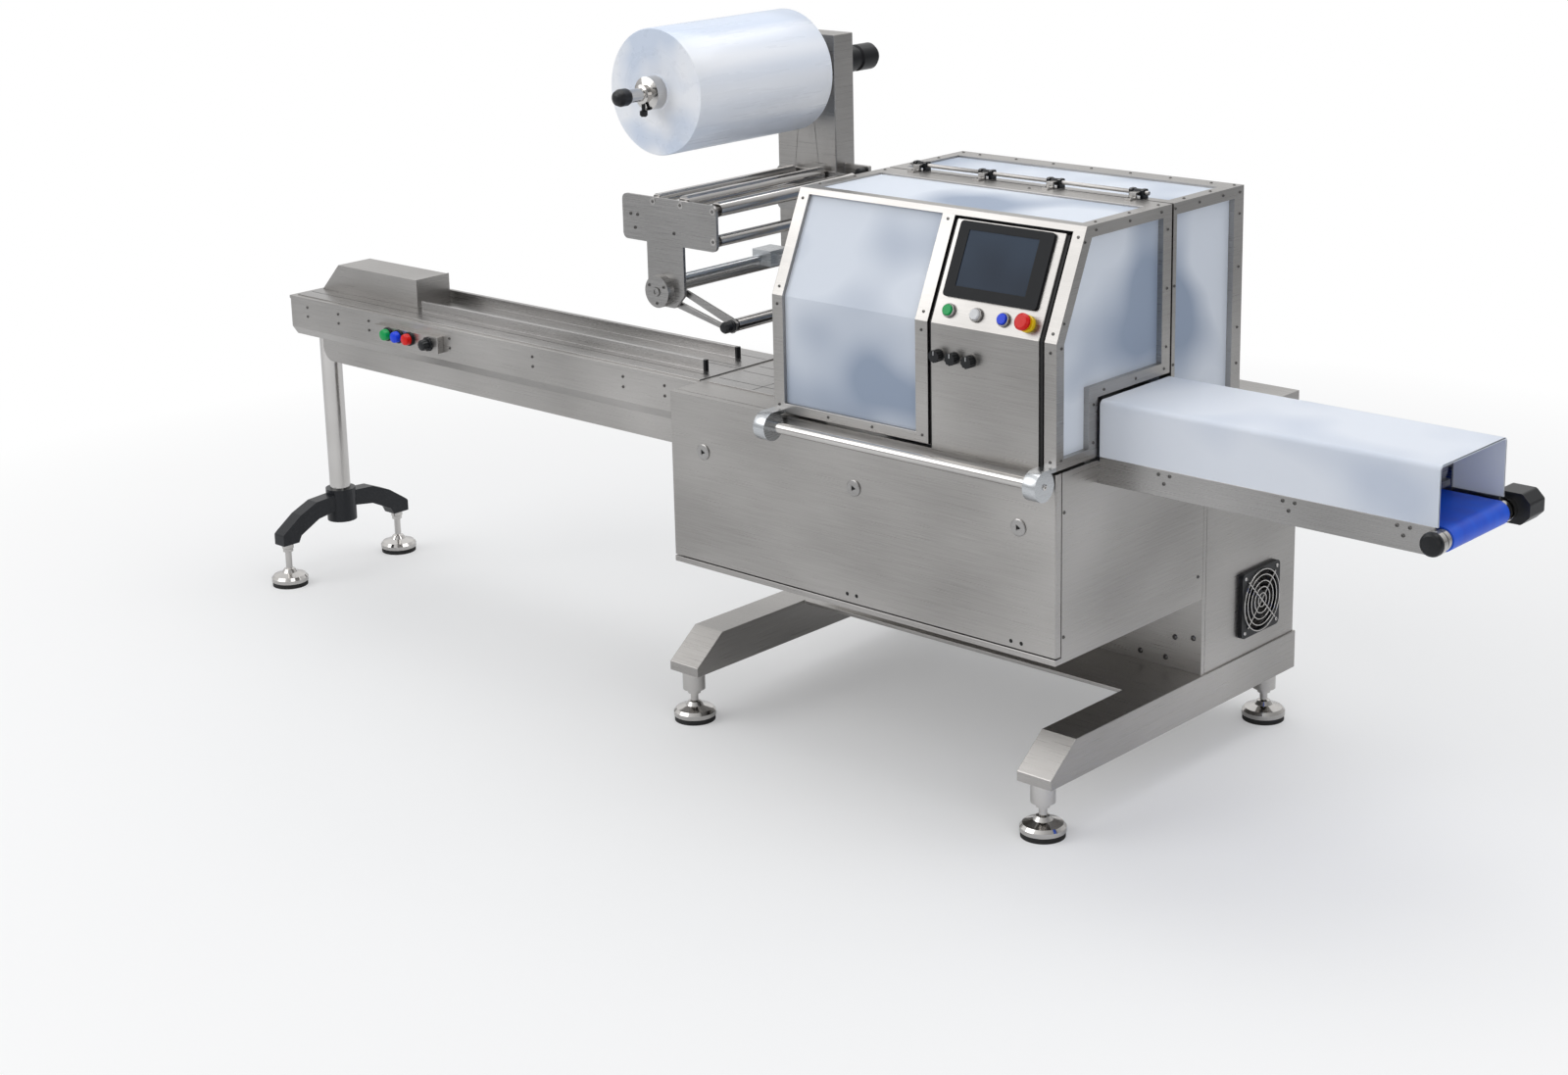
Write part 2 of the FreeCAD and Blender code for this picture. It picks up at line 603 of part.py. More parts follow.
displayPad = display.newObject("PartDesign::Pad", "DisplayPad")
displayPad.Profile = displaySketch
bind(displayPad, Length=1.5)
put(display, "screenLeft", *onFace)
keep("screen_display", display)


def fluted_knob(name, way, at):
    """A round knob with ten flutes, standing half a millimetre off its collar."""
    body = new_body(name)
    sketch = new_sketch(body, name + "Sketch", "XY", 3)
    ring(sketch, 0, 0, 15)
    pad = body.newObject("PartDesign::Pad", name + "Pad")
    pad.Profile = sketch
    bind(pad, Length=20)
    flute = new_sketch(body, name + "FluteSketch", "XY", 23)
    ring(flute, 17.2, 0, 3.6)
    pocket = body.newObject("PartDesign::Pocket", name + "Flute")
    pocket.Profile = flute
    bind(pocket, Length=15)
    pattern = body.newObject("PartDesign::PolarPattern", name + "Flutes")
    pattern.Originals = [pocket]
    pattern.Axis = (flute, ["N_Axis"])
    pattern.Angle = 360
    pattern.Occurrences = 10
    body.Tip = pattern
    return put(body, *at, way)


def push_cap(name, way, at):
    return turned(name, way, at, [(0, 4), (13, 4), (13, 12), (11.5, 14), (0, 14)])


def cap_collar(name, way, at):
    return turned(name, way, at, [(13.3, 0), (17, 0), (17, 5), (15.5, 7), (13.3, 7)])


collars = []
for colour, x in (("green", -271), ("white", -191), ("blue", -113)):
    at = (x, slope_y(0, "buttonZ"), "buttonZ")
    keep(f"{colour}_button", push_cap(f"{colour.title()}Button", "out", at))
    collars.append(cap_collar(f"{colour.title()}Collar", "out", at))
stopAt = (-45, slope_y(0, "buttonZ"), "buttonZ")
keep("emergency_stop", turned("EmergencyStop", "out", stopAt, [
    (0, 5), (11.7, 5), (11.7, 19), (19, 19), (20, 21), (20, 27), (15, 32), (0, 33)]))
keep("stop_collar", turned("StopCollar", "out", stopAt, [(12, 0), (20, 0), (20, 8), (18, 10), (12, 10)]))
for number, x in enumerate((-291, -244, -196), 1):
    at = (x, "cabFront", "knobZ")
    keep(f"rotary_knob_{number}", fluted_knob(f"RotaryKnob{number}", "front", at))
    collars.append(rod(f"KnobCollar{number}", "front", at, 16, 2.5))

# ---------------------------------------------------------------- infeed conveyor
keep("infeed_channel", slab(
    "InfeedChannel", "YZ",
    [("inFront - 3", "lipLow"), ("inFront - 3", "deck"), ("inRear + 3", "deck"), ("inRear + 3", "lipLow"),
     ("inRear", "lipLow"), ("inRear", "sideLow"), ("inRear - 18", "channelLow"),
     ("inFront + 18", "channelLow"), ("inFront", "sideLow"), ("inFront", "lipLow")],
    "inLeft", "cabLeft"))
tray = slab(
    "InfeedTray", "XZ",
    [("trayLeft", "trayZ"), ("cabLeft", "trayZ"), ("cabLeft", "channelLow"), ("trayLeft", "channelLow")],
    "inFront + 41", "inRear - 41")
soften(tray, 44, lambda edge: runs_along(edge, "back") and edge.CenterOfMass.x < -2700
       and edge.CenterOfMass.z < 730)
keep("infeed_tray", tray)
keep("bed_plates", fuse(
    "BedPlates",
    block("InfeedBed", ("inLeft + 20", "cabLeft - 8"), ("inFront + 14", "inRear - 14"), ("deck", "bed")),
    block("DeckBed", ("cabLeft + 17", "cabRight - 8"), ("inFront + 16", "inRear - 14"), ("deck", "bed")),
    block("FrontRail", (-2403, -1250), (178, 188), ("bed", "railTop")),
    block("RearRail", (-2465, -1280), (331, 343), ("bed", "railTop"))))
keep("rail_ends", gather(
    "RailEnds",
    block("FrontRailEnd", (-1250, -1243), (177, 190), ("bed", "railTop - 1")),
    block("RearRailEnd", (-1280, -1273), (330, 345), ("bed", "railTop - 1"))))
tailCover = slab(
    "TailCover", "XZ",
    [("inLeft + 24", "bed"), (-2444, "bed"), (-2444, "bed + 84"), ("inLeft + 107", "bed + 84")],
    "inMiddle - 62", "inMiddle + 60")
tailEnd = block("TailCoverEnd", (-2444, -2440), ("inMiddle - 64", "inMiddle + 62"), ("bed", "bed + 86"))
keep("tail_cover", fuse("TailCoverWhole", tailCover, tailEnd))
keep("support_column", rod(
    "SupportColumn", "up", ("columnX", "columnY", "hubTop"), "columnRadius", "channelLow - hubTop"))

rightSide = [(110, 243), (174, 216), (232, 176), ("legSpan + 30", 166), ("legSpan + 30", 132),
             ("legSpan - 28", 132), ("legSpan - 38", 152), (106, 188)]
legPoints = [("columnY", 250)] + [(f"columnY + {y}", z) for y, z in rightSide] + [("columnY", 204)]
legPoints += [(f"columnY - ({y})", z) for y, z in reversed(rightSide)]
legs = slab("FootLegs", "YZ", legPoints, "columnX - legWide / 2", "columnX + legWide / 2")
soften(legs, 9, lambda edge: runs_along(edge, "right") and edge.CenterOfMass.z > 145)
keep("cast_foot", fuse(
    "CastFoot", legs,
    rod("FootHub", "up", ("columnX", "columnY", "hubLow"), 46, "hubTop - hubLow")))

keep("station_box", block("StationBox", (-2492, -2206), ("inFront - 22", "inFront"), (820, 868)))
stationCaps = []
for number, x in enumerate((-2425, -2377, -2328)):
    at = (x, "inFront - 22", 848)
    stationCaps.append(turned(f"StationCap{number}", "front", at, [
        (0, 0), (19, 0), (19, 7), (16, 9), (16, 20), (14, 23), (0, 23)]))
stationCaps.append(turned("StationKnob", "front", (-2248, "inFront - 22", 844), [
    (0, 0), (20, 0), (20, 6), (15, 8), (15, 24), (12, 27), (0, 27)]))
keep("station_controls", gather("StationControls", *stationCaps))
keep("button_collars", gather("ButtonCollars", *collars))

# ---------------------------------------------------------------- film reel
tower = block("TowerTube", ("towerLeft", "towerRight"), ("towerFront", "towerFront + towerDeep"),
              ("deck + 10", "towerTop"))
towerBore = rod("TowerBore", "back", ("reelX", "towerFront", "reelZ"), "shaftRadius + fit", "towerDeep")
columnBase = block(
    "ColumnBase", ("earLeft", "towerRight + 20"), ("towerFront - 20", "towerFront + towerDeep + 20"),
    ("deck", "deck + 10"))
bracket = block("FilmBracket", ("towerRight", "towerRight + 84"), (594, 606), (1374, 1404))
keep("reel_column", fuse("ReelColumn", cut("TowerBody", tower, towerBore), columnBase, bracket))
keep("film_roll", turned("FilmRoll", "back", ("reelX", "reelFront", "reelZ"), [
    ("coreRadius", 0), ("reelRadius - 3", 0), ("reelRadius", 3), ("reelRadius", "reelRear - reelFront - 3"),
    ("reelRadius - 3", "reelRear - reelFront"), ("coreRadius", "reelRear - reelFront")]))
keep("mandrel", turned("Mandrel", "back", ("reelX", -98, "reelZ"), [
    (0, 0), ("shaftRadius", 0), ("shaftRadius", 46), (24, 48), (24, 62), (42, 66), (42, 96), ("coreRadius", 98),
    ("coreRadius", "reelRear + 98"), (56, "reelRear + 98"), (56, "reelRear + 108"), (30, "reelRear + 110"),
    (30, "towerFront + 92"), ("shaftRadius", "towerFront + 92"), ("shaftRadius", "towerFront + 168"),
    (0, "towerFront + 168")]))
mandrelKnob = turned("MandrelKnob", "front", ("reelX", -98, "reelZ"), [
    (0, 0), (20, 0), (22, 6), (22, 26), (18, 36), (8, 41), (0, 42)])
clampScrew = turned("ClampScrew", "down", ("reelX", -43, "reelZ - 24"), [
    (0, 0), (5, 0), (5, 16), (10, 18), (10, 28), (7, 32), (0, 32)])
keep("mandrel_knobs", gather("MandrelKnobs", mandrelKnob, clampScrew))
keep("reel_brake", turned("ReelBrake", "back", ("reelX", "towerFront + towerDeep", "reelZ"), [
    (0, 0), (46, 0), (46, 14), (36, 16), (36, 108), (31, 112), (31, 122), (36, 126), (36, 182), (28, 194),
    (0, 194)]))

# ---------------------------------------------------------------- film rollers
plateBack = "frameFront + frameThick"
rollerPlate = slab(
    "RollerPlate", "XZ",
    [("frameLeft", "frameLow"), ("frameRight", "frameLow"), ("frameRight", "frameHigh"),
     ("frameLeft", "frameHigh")],
    "frameFront", plateBack)
soften(rollerPlate, 16, lambda edge: runs_along(edge, "back"))
armPlate = slab(
    "ArmPlate", "XZ",
    [("dancerX - 52", "frameLow + 50"), ("dancerX + 78", "frameLow + 50"), ("dancerX + 78", "dancerZ - 6"),
     ("dancerX + 44", "dancerZ - 42"), ("dancerX - 30", "dancerZ - 42"), ("dancerX - 52", "dancerZ - 10")],
    plateBack, f"{plateBack} + frameThick")
soften(armPlate, 12, lambda edge: runs_along(edge, "back") and edge.CenterOfMass.z < 1200)
disc = rod("DiscBase", "front", ("dancerX", plateBack, "dancerZ"), 42, 22)
dimple = rod("DiscDimple", "front", ("dancerX", "frameFront + 2", "dancerZ"), 12, 20)
dancerDisc = cut("DancerDisc", disc, dimple)
rearPlate = slab(
    "RearPlate", "XZ",
    [("towerLeft", "frameLow"), ("frameRight + 25", "frameLow"), ("frameRight + 25", "frameHigh"),
     ("towerLeft", "frameHigh")],
    "towerFront - frameThick", "towerFront")
soften(rearPlate, 14, lambda edge: runs_along(edge, "back"))
keep("roller_plates", fuse("RollerPlates", rollerPlate, rearPlate, armPlate, dancerDisc))

rollerGap = "frameThick"
pins = []
for letter, x, z, radius in (("a", -1253, 1379, 14), ("b", -1155, 1379, 19),
                             ("c", -1042, 1374, 19), ("d", -1042, 1294, 15)):
    start = f"{plateBack} + {rollerGap}"
    reach = f"towerFront - frameThick - {rollerGap} - ({start})"
    pins.append(rod(f"Pin{letter.upper()}", "back", (x, plateBack, z), "pinRadius",
                    f"towerFront - frameThick - ({plateBack})"))
    sleeve = rod(f"Tube{letter.upper()}", "back", (x, start, z), radius, reach)
    bore = rod(f"TubeBore{letter.upper()}", "back", (x, start, z), "pinRadius + fit", reach)
    keep(f"idler_roller_{letter}", cut(f"IdlerRoller{letter.upper()}", sleeve, bore))
armBack = f"{plateBack} + frameThick"
pins.append(rod("PinDancer", "back", ("dancerX", armBack, "dancerZ"), "pinRadius", f"towerFront - ({armBack})"))
keep("roller_pins", gather("RollerPins", *pins))

tieRod = rod("TieRod", "back", (-1186, armBack, 1180), 11, f"towerFront - ({armBack})")
clampBlock = fuse(
    "ClampBlock",
    block("ClampJaw", (-1206, -1140), (330, 400), (1164, 1206)),
    block("ClampFinger", (-1140, -1096), (345, 385), (1172, 1196)))
keep("tie_rod", fuse("TieRodWhole", tieRod, clampBlock))

# ---------------------------------------------------------------- dancer
armFront = f"{armBack} + 8"
armPlaces = ((armFront, "Front"), ("towerFront - 60", "Rear"))
dancerParts = []
for low, side in armPlaces:
    hull = slab(
        f"DancerArm{side}", "XZ",
        [("dancerX - 20", "dancerZ - 20"), ("dancerX - 4", "dancerZ - 36"), ("dancerEndX", "dancerEndZ - 20"),
         ("dancerEndX + 18", "dancerEndZ - 8"), ("dancerEndX + 18", "dancerEndZ + 10"),
         ("dancerEndX", "dancerEndZ + 20"), ("dancerX + 12", "dancerZ + 24"), ("dancerX - 20", "dancerZ + 20")],
        low, f"{low} + 8",
        windows=[[("dancerX + 46", "dancerZ - 28"), ("dancerEndX - 26", "dancerEndZ - 2"),
                  ("dancerEndX - 26", "dancerEndZ + 6"), ("dancerX + 46", "dancerZ - 3")]])
    dancerParts.append(hull)
dancerTube = rod("DancerTube", "back", ("dancerX", armFront, "dancerZ"), 12, f"towerFront - 52 - ({armFront})")
dancerSolid = fuse("DancerSolid", dancerTube, *dancerParts)
dancerBore = rod("DancerBore", "back", ("dancerX", f"{armFront} - 1", "dancerZ"), "pinRadius + fit",
                 f"towerFront - 50 - ({armFront})")
pinStart = f"{armFront} + 8"
pinReach = f"towerFront - 60 - ({pinStart})"
dancerPin = rod("DancerPin", "back", ("dancerEndX", pinStart, "dancerEndZ"), "pinRadius", pinReach)
keep("dancer_arm", fuse("DancerArm", cut("DancerBody", dancerSolid, dancerBore), dancerPin))
sleeve = rod("DancerTubeWhole", "back", ("dancerEndX", f"{pinStart} + 6", "dancerEndZ"), 16, f"{pinReach} - 12")
bore = rod("DancerTubeBore", "back", ("dancerEndX", f"{pinStart} + 6", "dancerEndZ"), "pinRadius + fit",
           f"{pinReach} - 12")
keep("dancer_roller", cut("DancerRoller", sleeve, bore))
keep("dancer_knob", turned("DancerKnob", "front", ("dancerEndX", armFront, "dancerEndZ"), [
    (0, 0), (16, 0), (16, 6), (13, 8), (15, 12), (15, 26), (11, 32), (0, 33)]))

# ---------------------------------------------------------------- discharge conveyor
sidePoints = [("cabRight", "outLow"), ("outEnd", "outLow"), ("outEnd", "outTop"), ("coverStart", "outTop"),
              ("coverStart", "deck - 2"), ("cabRight", "deck - 2")]
sidePlates = [
    slab("FrontSidePlate", "XZ", sidePoints, "outFront", "outFront + outThick"),
    slab("RearSidePlate", "XZ", sidePoints, "outRear - outThick", "outRear")]


def belt_solid(name, thick, front, rear):
    """The run round both rollers: two cylinders and the box between them."""
    radius = f"noseRadius + {thick}"
    return fuse(
        name,
        rod(f"{name}Nose", "back", ("noseX", front, "noseZ"), radius, f"{rear} - ({front})"),
        rod(f"{name}Drive", "back", ("driveX", front, "noseZ"), radius, f"{rear} - ({front})"),
        block(f"{name}Box", ("driveX", "noseX"), (front, rear),
              (f"noseZ - ({radius})", f"noseZ + {radius}")))


keep("discharge_belt", cut(
    "DischargeBelt",
    belt_solid("BeltOuter", "beltThick", "beltFront", "beltRear"),
    belt_solid("BeltInner", "0", "beltFront - 1", "beltRear + 1")))
inside = "outFront + outThick"
across = "outRear - outFront - 2 * outThick"
keep("belt_rollers", gather(
    "BeltRollers",
    rod("FrontRing", "front", ("noseX", "outFront", "noseZ"), "noseRadius + 2", 16),
    rod("RearRing", "back", ("noseX", "outRear", "noseZ"), "noseRadius + 2", 16),
    rod("NoseRoller", "back", ("noseX", inside, "noseZ"), "noseRadius", across),
    rod("DriveRoller", "back", ("driveX", inside, "noseZ"), "noseRadius", across)))
crossBars = [
    block(f"CrossBar{number}", (f"{x} - 12", f"{x} + 12"), (inside, "outRear - outThick"), (861, 885))
    for number, x in enumerate((228, 551, 828))]
keep("discharge_frame", fuse("DischargeFrame", *sidePlates, *crossBars))
rollerCap = turned("RollerCap", "front", ("noseX", "outFront - 16", "noseZ"), [
    (0, 0), (26, 0), (27, 5), (25, 11), (20, 15), (0, 17)])
motorHousing = slab(
    "MotorHousing", "XZ",
    [("noseX - 40", "noseZ - 16"), ("noseX - 18", "noseZ - 32"), ("noseX + 34", "noseZ - 32"),
     ("noseX + 54", "noseZ - 12"), ("noseX + 54", "noseZ + 18"), ("noseX + 34", "noseZ + 38"),
     ("noseX - 22", "noseZ + 38"), ("noseX - 40", "noseZ + 22")],
    "outRear + 16", "outRear + 82")
soften(motorHousing, 9, lambda edge: runs_along(edge, "back"))
keep("bearing_housings", gather("BearingHousings", rollerCap, motorHousing))
coverBody = slab(
    "TunnelCover", "YZ",
    [("outFront", "outTop"), ("outFront + pane", "outTop"), ("outFront + pane", "coverTop - pane"),
     ("outRear - pane", "coverTop - pane"), ("outRear - pane", "outTop"), ("outRear", "outTop"),
     ("outRear", "coverTop"), ("outFront", "coverTop")],
    "coverStart", "coverEnd")
soften(coverBody, "coverBend", lambda edge: runs_along(edge, "right") and edge.CenterOfMass.z > 1037)
soften(coverBody, "coverBend - pane",
       lambda edge: runs_along(edge, "right") and abs(edge.CenterOfMass.z - 1033) < 0.1)
keep("tunnel_cover", coverBody)
keep("hold_down", fuse(
    "HoldDown",
    rod("HoldDownTube", "right", (560, 350, 962), 26, 240),
    block("HoldDownShoe", (560, 812), (330, 366), (926, 940)),
    block("HoldDownArm", (762, 788), (350, "outRear - outThick"), (955, 969)),
    block("HoldDownPost", (762, 788), ("outRear - outThick - 6", "outRear - outThick"), ("deck", 969))))

# ---------------------------------------------------------------- sealing unit inside the hood
cheek = [(-570, "bed"), (-410, "bed"), (-410, 1170), (-440, 1200), (-540, 1200), (-570, 1170)]
cheeks = [slab("FrontCheek", "XZ", cheek, 120, 140), slab("RearCheek", "XZ", cheek, 390, 410)]
keep("sealing_unit", fuse("SealingUnit", *cheeks, *[
    turned(f"Jaw{number}", "back", (-490, 140, z), [
        (0, 0), (16, 0), (16, 25), (38, 25), (38, 225), (16, 225), (16, 250), (0, 250)])
    for number, z in enumerate((945, 1065))]))

# ---------------------------------------------------------------- write
doc.recompute()
for thing in doc.Objects:
    faults = [state for state in thing.State if state in ("Invalid", "Error")]
    if faults:
        raise RuntimeError(f"{thing.Name} is {faults}")
for label, thing in subparts.items():
    if thing.Shape.isNull() or not thing.Shape.isValid():
        raise RuntimeError(f"{label} has no valid shape")
os.makedirs("parts", exist_ok=True)
for label, thing in subparts.items():
    thing.Shape.exportStep(f"parts/{label}.step")
    box = thing.Shape.BoundBox
    print(f"{label:22s} solids {len(thing.Shape.Solids)} box "
          f"{box.XMin:.0f} {box.XMax:.0f} {box.YMin:.0f} {box.YMax:.0f} {box.ZMin:.0f} {box.ZMax:.0f}")
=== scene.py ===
import math

import bmesh
import bpy
import numpy as np
from mathutils import Matrix, Vector


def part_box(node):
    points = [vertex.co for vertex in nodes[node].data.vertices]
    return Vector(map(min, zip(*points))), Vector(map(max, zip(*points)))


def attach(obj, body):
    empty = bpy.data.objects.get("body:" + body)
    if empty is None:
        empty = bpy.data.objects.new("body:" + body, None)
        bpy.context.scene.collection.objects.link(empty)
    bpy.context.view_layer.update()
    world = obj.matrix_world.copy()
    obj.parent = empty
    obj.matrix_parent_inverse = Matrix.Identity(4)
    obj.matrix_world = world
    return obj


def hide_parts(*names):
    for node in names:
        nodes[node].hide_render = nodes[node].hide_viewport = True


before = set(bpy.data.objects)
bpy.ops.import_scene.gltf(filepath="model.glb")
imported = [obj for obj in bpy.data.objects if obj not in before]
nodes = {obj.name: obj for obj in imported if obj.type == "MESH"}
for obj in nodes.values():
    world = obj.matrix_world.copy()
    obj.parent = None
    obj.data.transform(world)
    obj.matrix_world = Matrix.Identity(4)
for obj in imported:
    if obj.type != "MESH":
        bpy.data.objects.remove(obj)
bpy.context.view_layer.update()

frameLow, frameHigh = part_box("machine_frame")
# Every place below is counted in millimetres from the floor under the front right foot.
foot = {"inX": 0.050, "inY": 0.036}
footX = frameHigh[0] - foot["inX"]
footY = frameLow[1] + foot["inY"]


# Millimetres from the floor under the front right foot, to metres in the frame.
def place(x, y, z):
    return np.array((footX + x / 1000, footY + y / 1000, z / 1000))


# Camera: a long lens standing front right of the machine, looking down a little.
camera = {"azimuth": 43.55, "elevation": 14.93, "roll": -1.52, "lens": 59.43, "sensor": 36,
          "shiftX": 0.01894, "shiftY": -0.08774, "eye": (3400, -4523, 2577), "reach": 200}


# The camera's axes follow from azimuth and elevation, then roll about the line of sight.
def aimCamera():
    az, el, roll = (math.radians(camera[key]) for key in ("azimuth", "elevation", "roll"))
    look = Vector((-math.sin(az) * math.cos(el), math.cos(az) * math.cos(el), -math.sin(el)))
    right = Vector((math.cos(az), math.sin(az), 0))
    up = right.cross(look)
    side = right * math.cos(roll) + up * math.sin(roll)
    top = up * math.cos(roll) - right * math.sin(roll)
    data = bpy.data.cameras.new("viewCamera")
    data.lens = camera["lens"]
    data.sensor_width = camera["sensor"]
    data.shift_x = camera["shiftX"]
    data.shift_y = camera["shiftY"]
    data.clip_end = camera["reach"]
    eye = bpy.data.objects.new("viewCamera", data)
    bpy.context.scene.collection.objects.link(eye)
    turn = Matrix((side, top, -look)).transposed().to_4x4()
    turn.translation = Vector(place(*camera["eye"]))
    eye.matrix_world = turn
    bpy.context.scene.camera = eye


aimCamera()
print("camera placed")


# An empty node group with its named inputs and outputs.
def newGroup(name, inputs, outputs):
    group = bpy.data.node_groups.new(name, "ShaderNodeTree")
    for label, kind, value in inputs:
        socket = group.interface.new_socket(name=label, in_out="INPUT", socket_type=kind)
        if value is not None:
            socket.default_value = value
    for label, kind in outputs:
        group.interface.new_socket(name=label, in_out="OUTPUT", socket_type=kind)
    return group, group.nodes.new("NodeGroupInput"), group.nodes.new("NodeGroupOutput")


# One math node, whose inputs are numbers or sockets.
def mathNode(tree, kind, first, second=None, clamp=False):
    node = tree.nodes.new("ShaderNodeMath")
    node.operation = kind
    node.use_clamp = clamp
    for slot, value in enumerate((first, second)):
        if value is None:
            continue
        if isinstance(value, (int, float)):
            node.inputs[slot].default_value = value
        else:
            tree.links.new(value, node.inputs[slot])
    return node.outputs[0]


# Two colours or sockets mixed by an amount.
def mixColour(tree, amount, first, second, blend="MIX"):
    node = tree.nodes.new("ShaderNodeMix")
    node.data_type = "RGBA"
    node.blend_type = blend
    for slot, value in ((0, amount), (6, first), (7, second)):
        if hasattr(value, "is_output"):
            tree.links.new(value, node.inputs[slot])
        elif slot == 0:
            node.inputs[0].default_value = value
        else:
            node.inputs[slot].default_value = (*value, 1)
    return node.outputs[2]


# Noise over coordinates scaled by stretch along each axis.
def stretchedNoise(tree, coordinate, stretch, scale, detail, rough=0.55):
    mapping = tree.nodes.new("ShaderNodeMapping")
    mapping.inputs["Scale"].default_value = stretch
    tree.links.new(coordinate, mapping.inputs["Vector"])
    noise = tree.nodes.new("ShaderNodeTexNoise")
    noise.inputs["Scale"].default_value = scale
    noise.inputs["Detail"].default_value = detail
    noise.inputs["Roughness"].default_value = rough
    tree.links.new(mapping.outputs[0], noise.inputs["Vector"])
    return noise.outputs["Fac"]


# Brushed grain: fine noise drawn out level on every face, along X, or along Y on the end faces.
def grainGroup():
    group, given, out = newGroup(
        "brushedGrain", (("Vector", "NodeSocketVector", None), ("Facing", "NodeSocketVector", None)),
        (("Grain", "NodeSocketFloat"), ("Cloud", "NodeSocketFloat")))
    alongX = stretchedNoise(group, given.outputs["Vector"], (7, 620, 620), 1.0, 4, 0.6)
    alongY = stretchedNoise(group, given.outputs["Vector"], (620, 7, 620), 1.0, 4, 0.6)
    parts = group.nodes.new("ShaderNodeSeparateXYZ")
    group.links.new(given.outputs["Facing"], parts.inputs[0])
    end = mathNode(group, "GREATER_THAN", mathNode(group, "ABSOLUTE", parts.outputs[0]), 0.7)
    pick = group.nodes.new("ShaderNodeMix")
    group.links.new(end, pick.inputs[0])
    group.links.new(alongX, pick.inputs[2])
    group.links.new(alongY, pick.inputs[3])
    group.links.new(pick.outputs[0], out.inputs["Grain"])
    cloud = stretchedNoise(group, given.outputs["Vector"], (1.6, 1.6, 2.4), 1.0, 2, 0.5)
    group.links.new(cloud, out.inputs["Cloud"])
    return group


# Moulded skin: fine pebbles and a slow change of tone.
def speckGroup():
    group, given, out = newGroup(
        "mouldedSkin", (("Vector", "NodeSocketVector", None), ("Size", "NodeSocketFloat", 900.0)),
        (("Pebble", "NodeSocketFloat"), ("Tone", "NodeSocketFloat")))
    noise = group.nodes.new("ShaderNodeTexNoise")
    noise.inputs["Detail"].default_value = 3
    group.links.new(given.outputs["Vector"], noise.inputs["Vector"])
    group.links.new(given.outputs["Size"], noise.inputs["Scale"])
    group.links.new(noise.outputs["Fac"], out.inputs["Pebble"])
    group.links.new(stretchedNoise(group, given.outputs["Vector"], (12, 12, 12), 1.0, 3), out.inputs["Tone"])
    return group


brushedGrain = grainGroup()
mouldedSkin = speckGroup()


# A material with its tree, shader and coordinates.
def newMaterial(name):
    material = bpy.data.materials.new(name)
    material.use_nodes = True
    tree = material.node_tree
    shader = tree.nodes["Principled BSDF"]
    where = tree.nodes.new("ShaderNodeTexCoord")
    return material, tree, shader, where


# A value carried from start and end to low and high.
def ranged(tree, value, low, high, start=0.3, end=0.7):
    node = tree.nodes.new("ShaderNodeMapRange")
    tree.links.new(value, node.inputs["Value"])
    for label, number in (("From Min", start), ("From Max", end), ("To Min", low), ("To Max", high)):
        node.inputs[label].default_value = number
    return node.outputs["Result"]


# A height bumps the shader's normal.
def bumpTo(tree, shader, height, strength, distance):
    bump = tree.nodes.new("ShaderNodeBump")
    bump.inputs["Strength"].default_value = strength
    bump.inputs["Distance"].default_value = distance
    tree.links.new(height, bump.inputs["Height"])
    tree.links.new(bump.outputs[0], shader.inputs["Normal"])


# Brushed or polished metal: two tones over the grain, and a roughness that follows it.
def metal(name, dark, light, rough, grainDepth=0.25, spread=0.1):
    material, tree, shader, where = newMaterial(name)
    shader.inputs["Metallic"].default_value = 1
    grain = tree.nodes.new("ShaderNodeGroup")
    grain.node_tree = brushedGrain
    tree.links.new(where.outputs["Object"], grain.inputs["Vector"])
    tree.links.new(where.outputs["Normal"], grain.inputs["Facing"])
    tone = mixColour(tree, ranged(tree, grain.outputs["Cloud"], 0, 1), dark, light)
    streak = mixColour(tree, ranged(tree, grain.outputs["Grain"], 0, 0.14), tone, (0.9, 0.89, 0.87))
    tree.links.new(streak, shader.inputs["Base Color"])
    sheen = ranged(tree, grain.outputs["Grain"], rough - spread, rough + spread)
    tree.links.new(sheen, shader.inputs["Roughness"])
    bumpTo(tree, shader, grain.outputs["Grain"], grainDepth, 0.0004)
    return material


# Moulded plastic, rubber or paint: one colour with a slow change of tone and a fine skin.
def plastic(name, colour, rough, coat=0.0, pebble=900.0, depth=0.12, shine=0.5):
    material, tree, shader, where = newMaterial(name)
    skin = tree.nodes.new("ShaderNodeGroup")
    skin.node_tree = mouldedSkin
    skin.inputs["Size"].default_value = pebble
    tree.links.new(where.outputs["Object"], skin.inputs["Vector"])
    darker = tuple(0.78 * part for part in colour)
    tone = mixColour(tree, ranged(tree, skin.outputs["Tone"], 0, 1), darker, colour)
    tree.links.new(tone, shader.inputs["Base Color"])
    tree.links.new(ranged(tree, skin.outputs["Pebble"], rough - 0.06, rough + 0.08), shader.inputs["Roughness"])
    shader.inputs["Specular IOR Level"].default_value = shine
    shader.inputs["Coat Weight"].default_value = coat
    shader.inputs["Coat Roughness"].default_value = 0.12
    bumpTo(tree, shader, skin.outputs["Pebble"], depth, 0.0003)
    return material


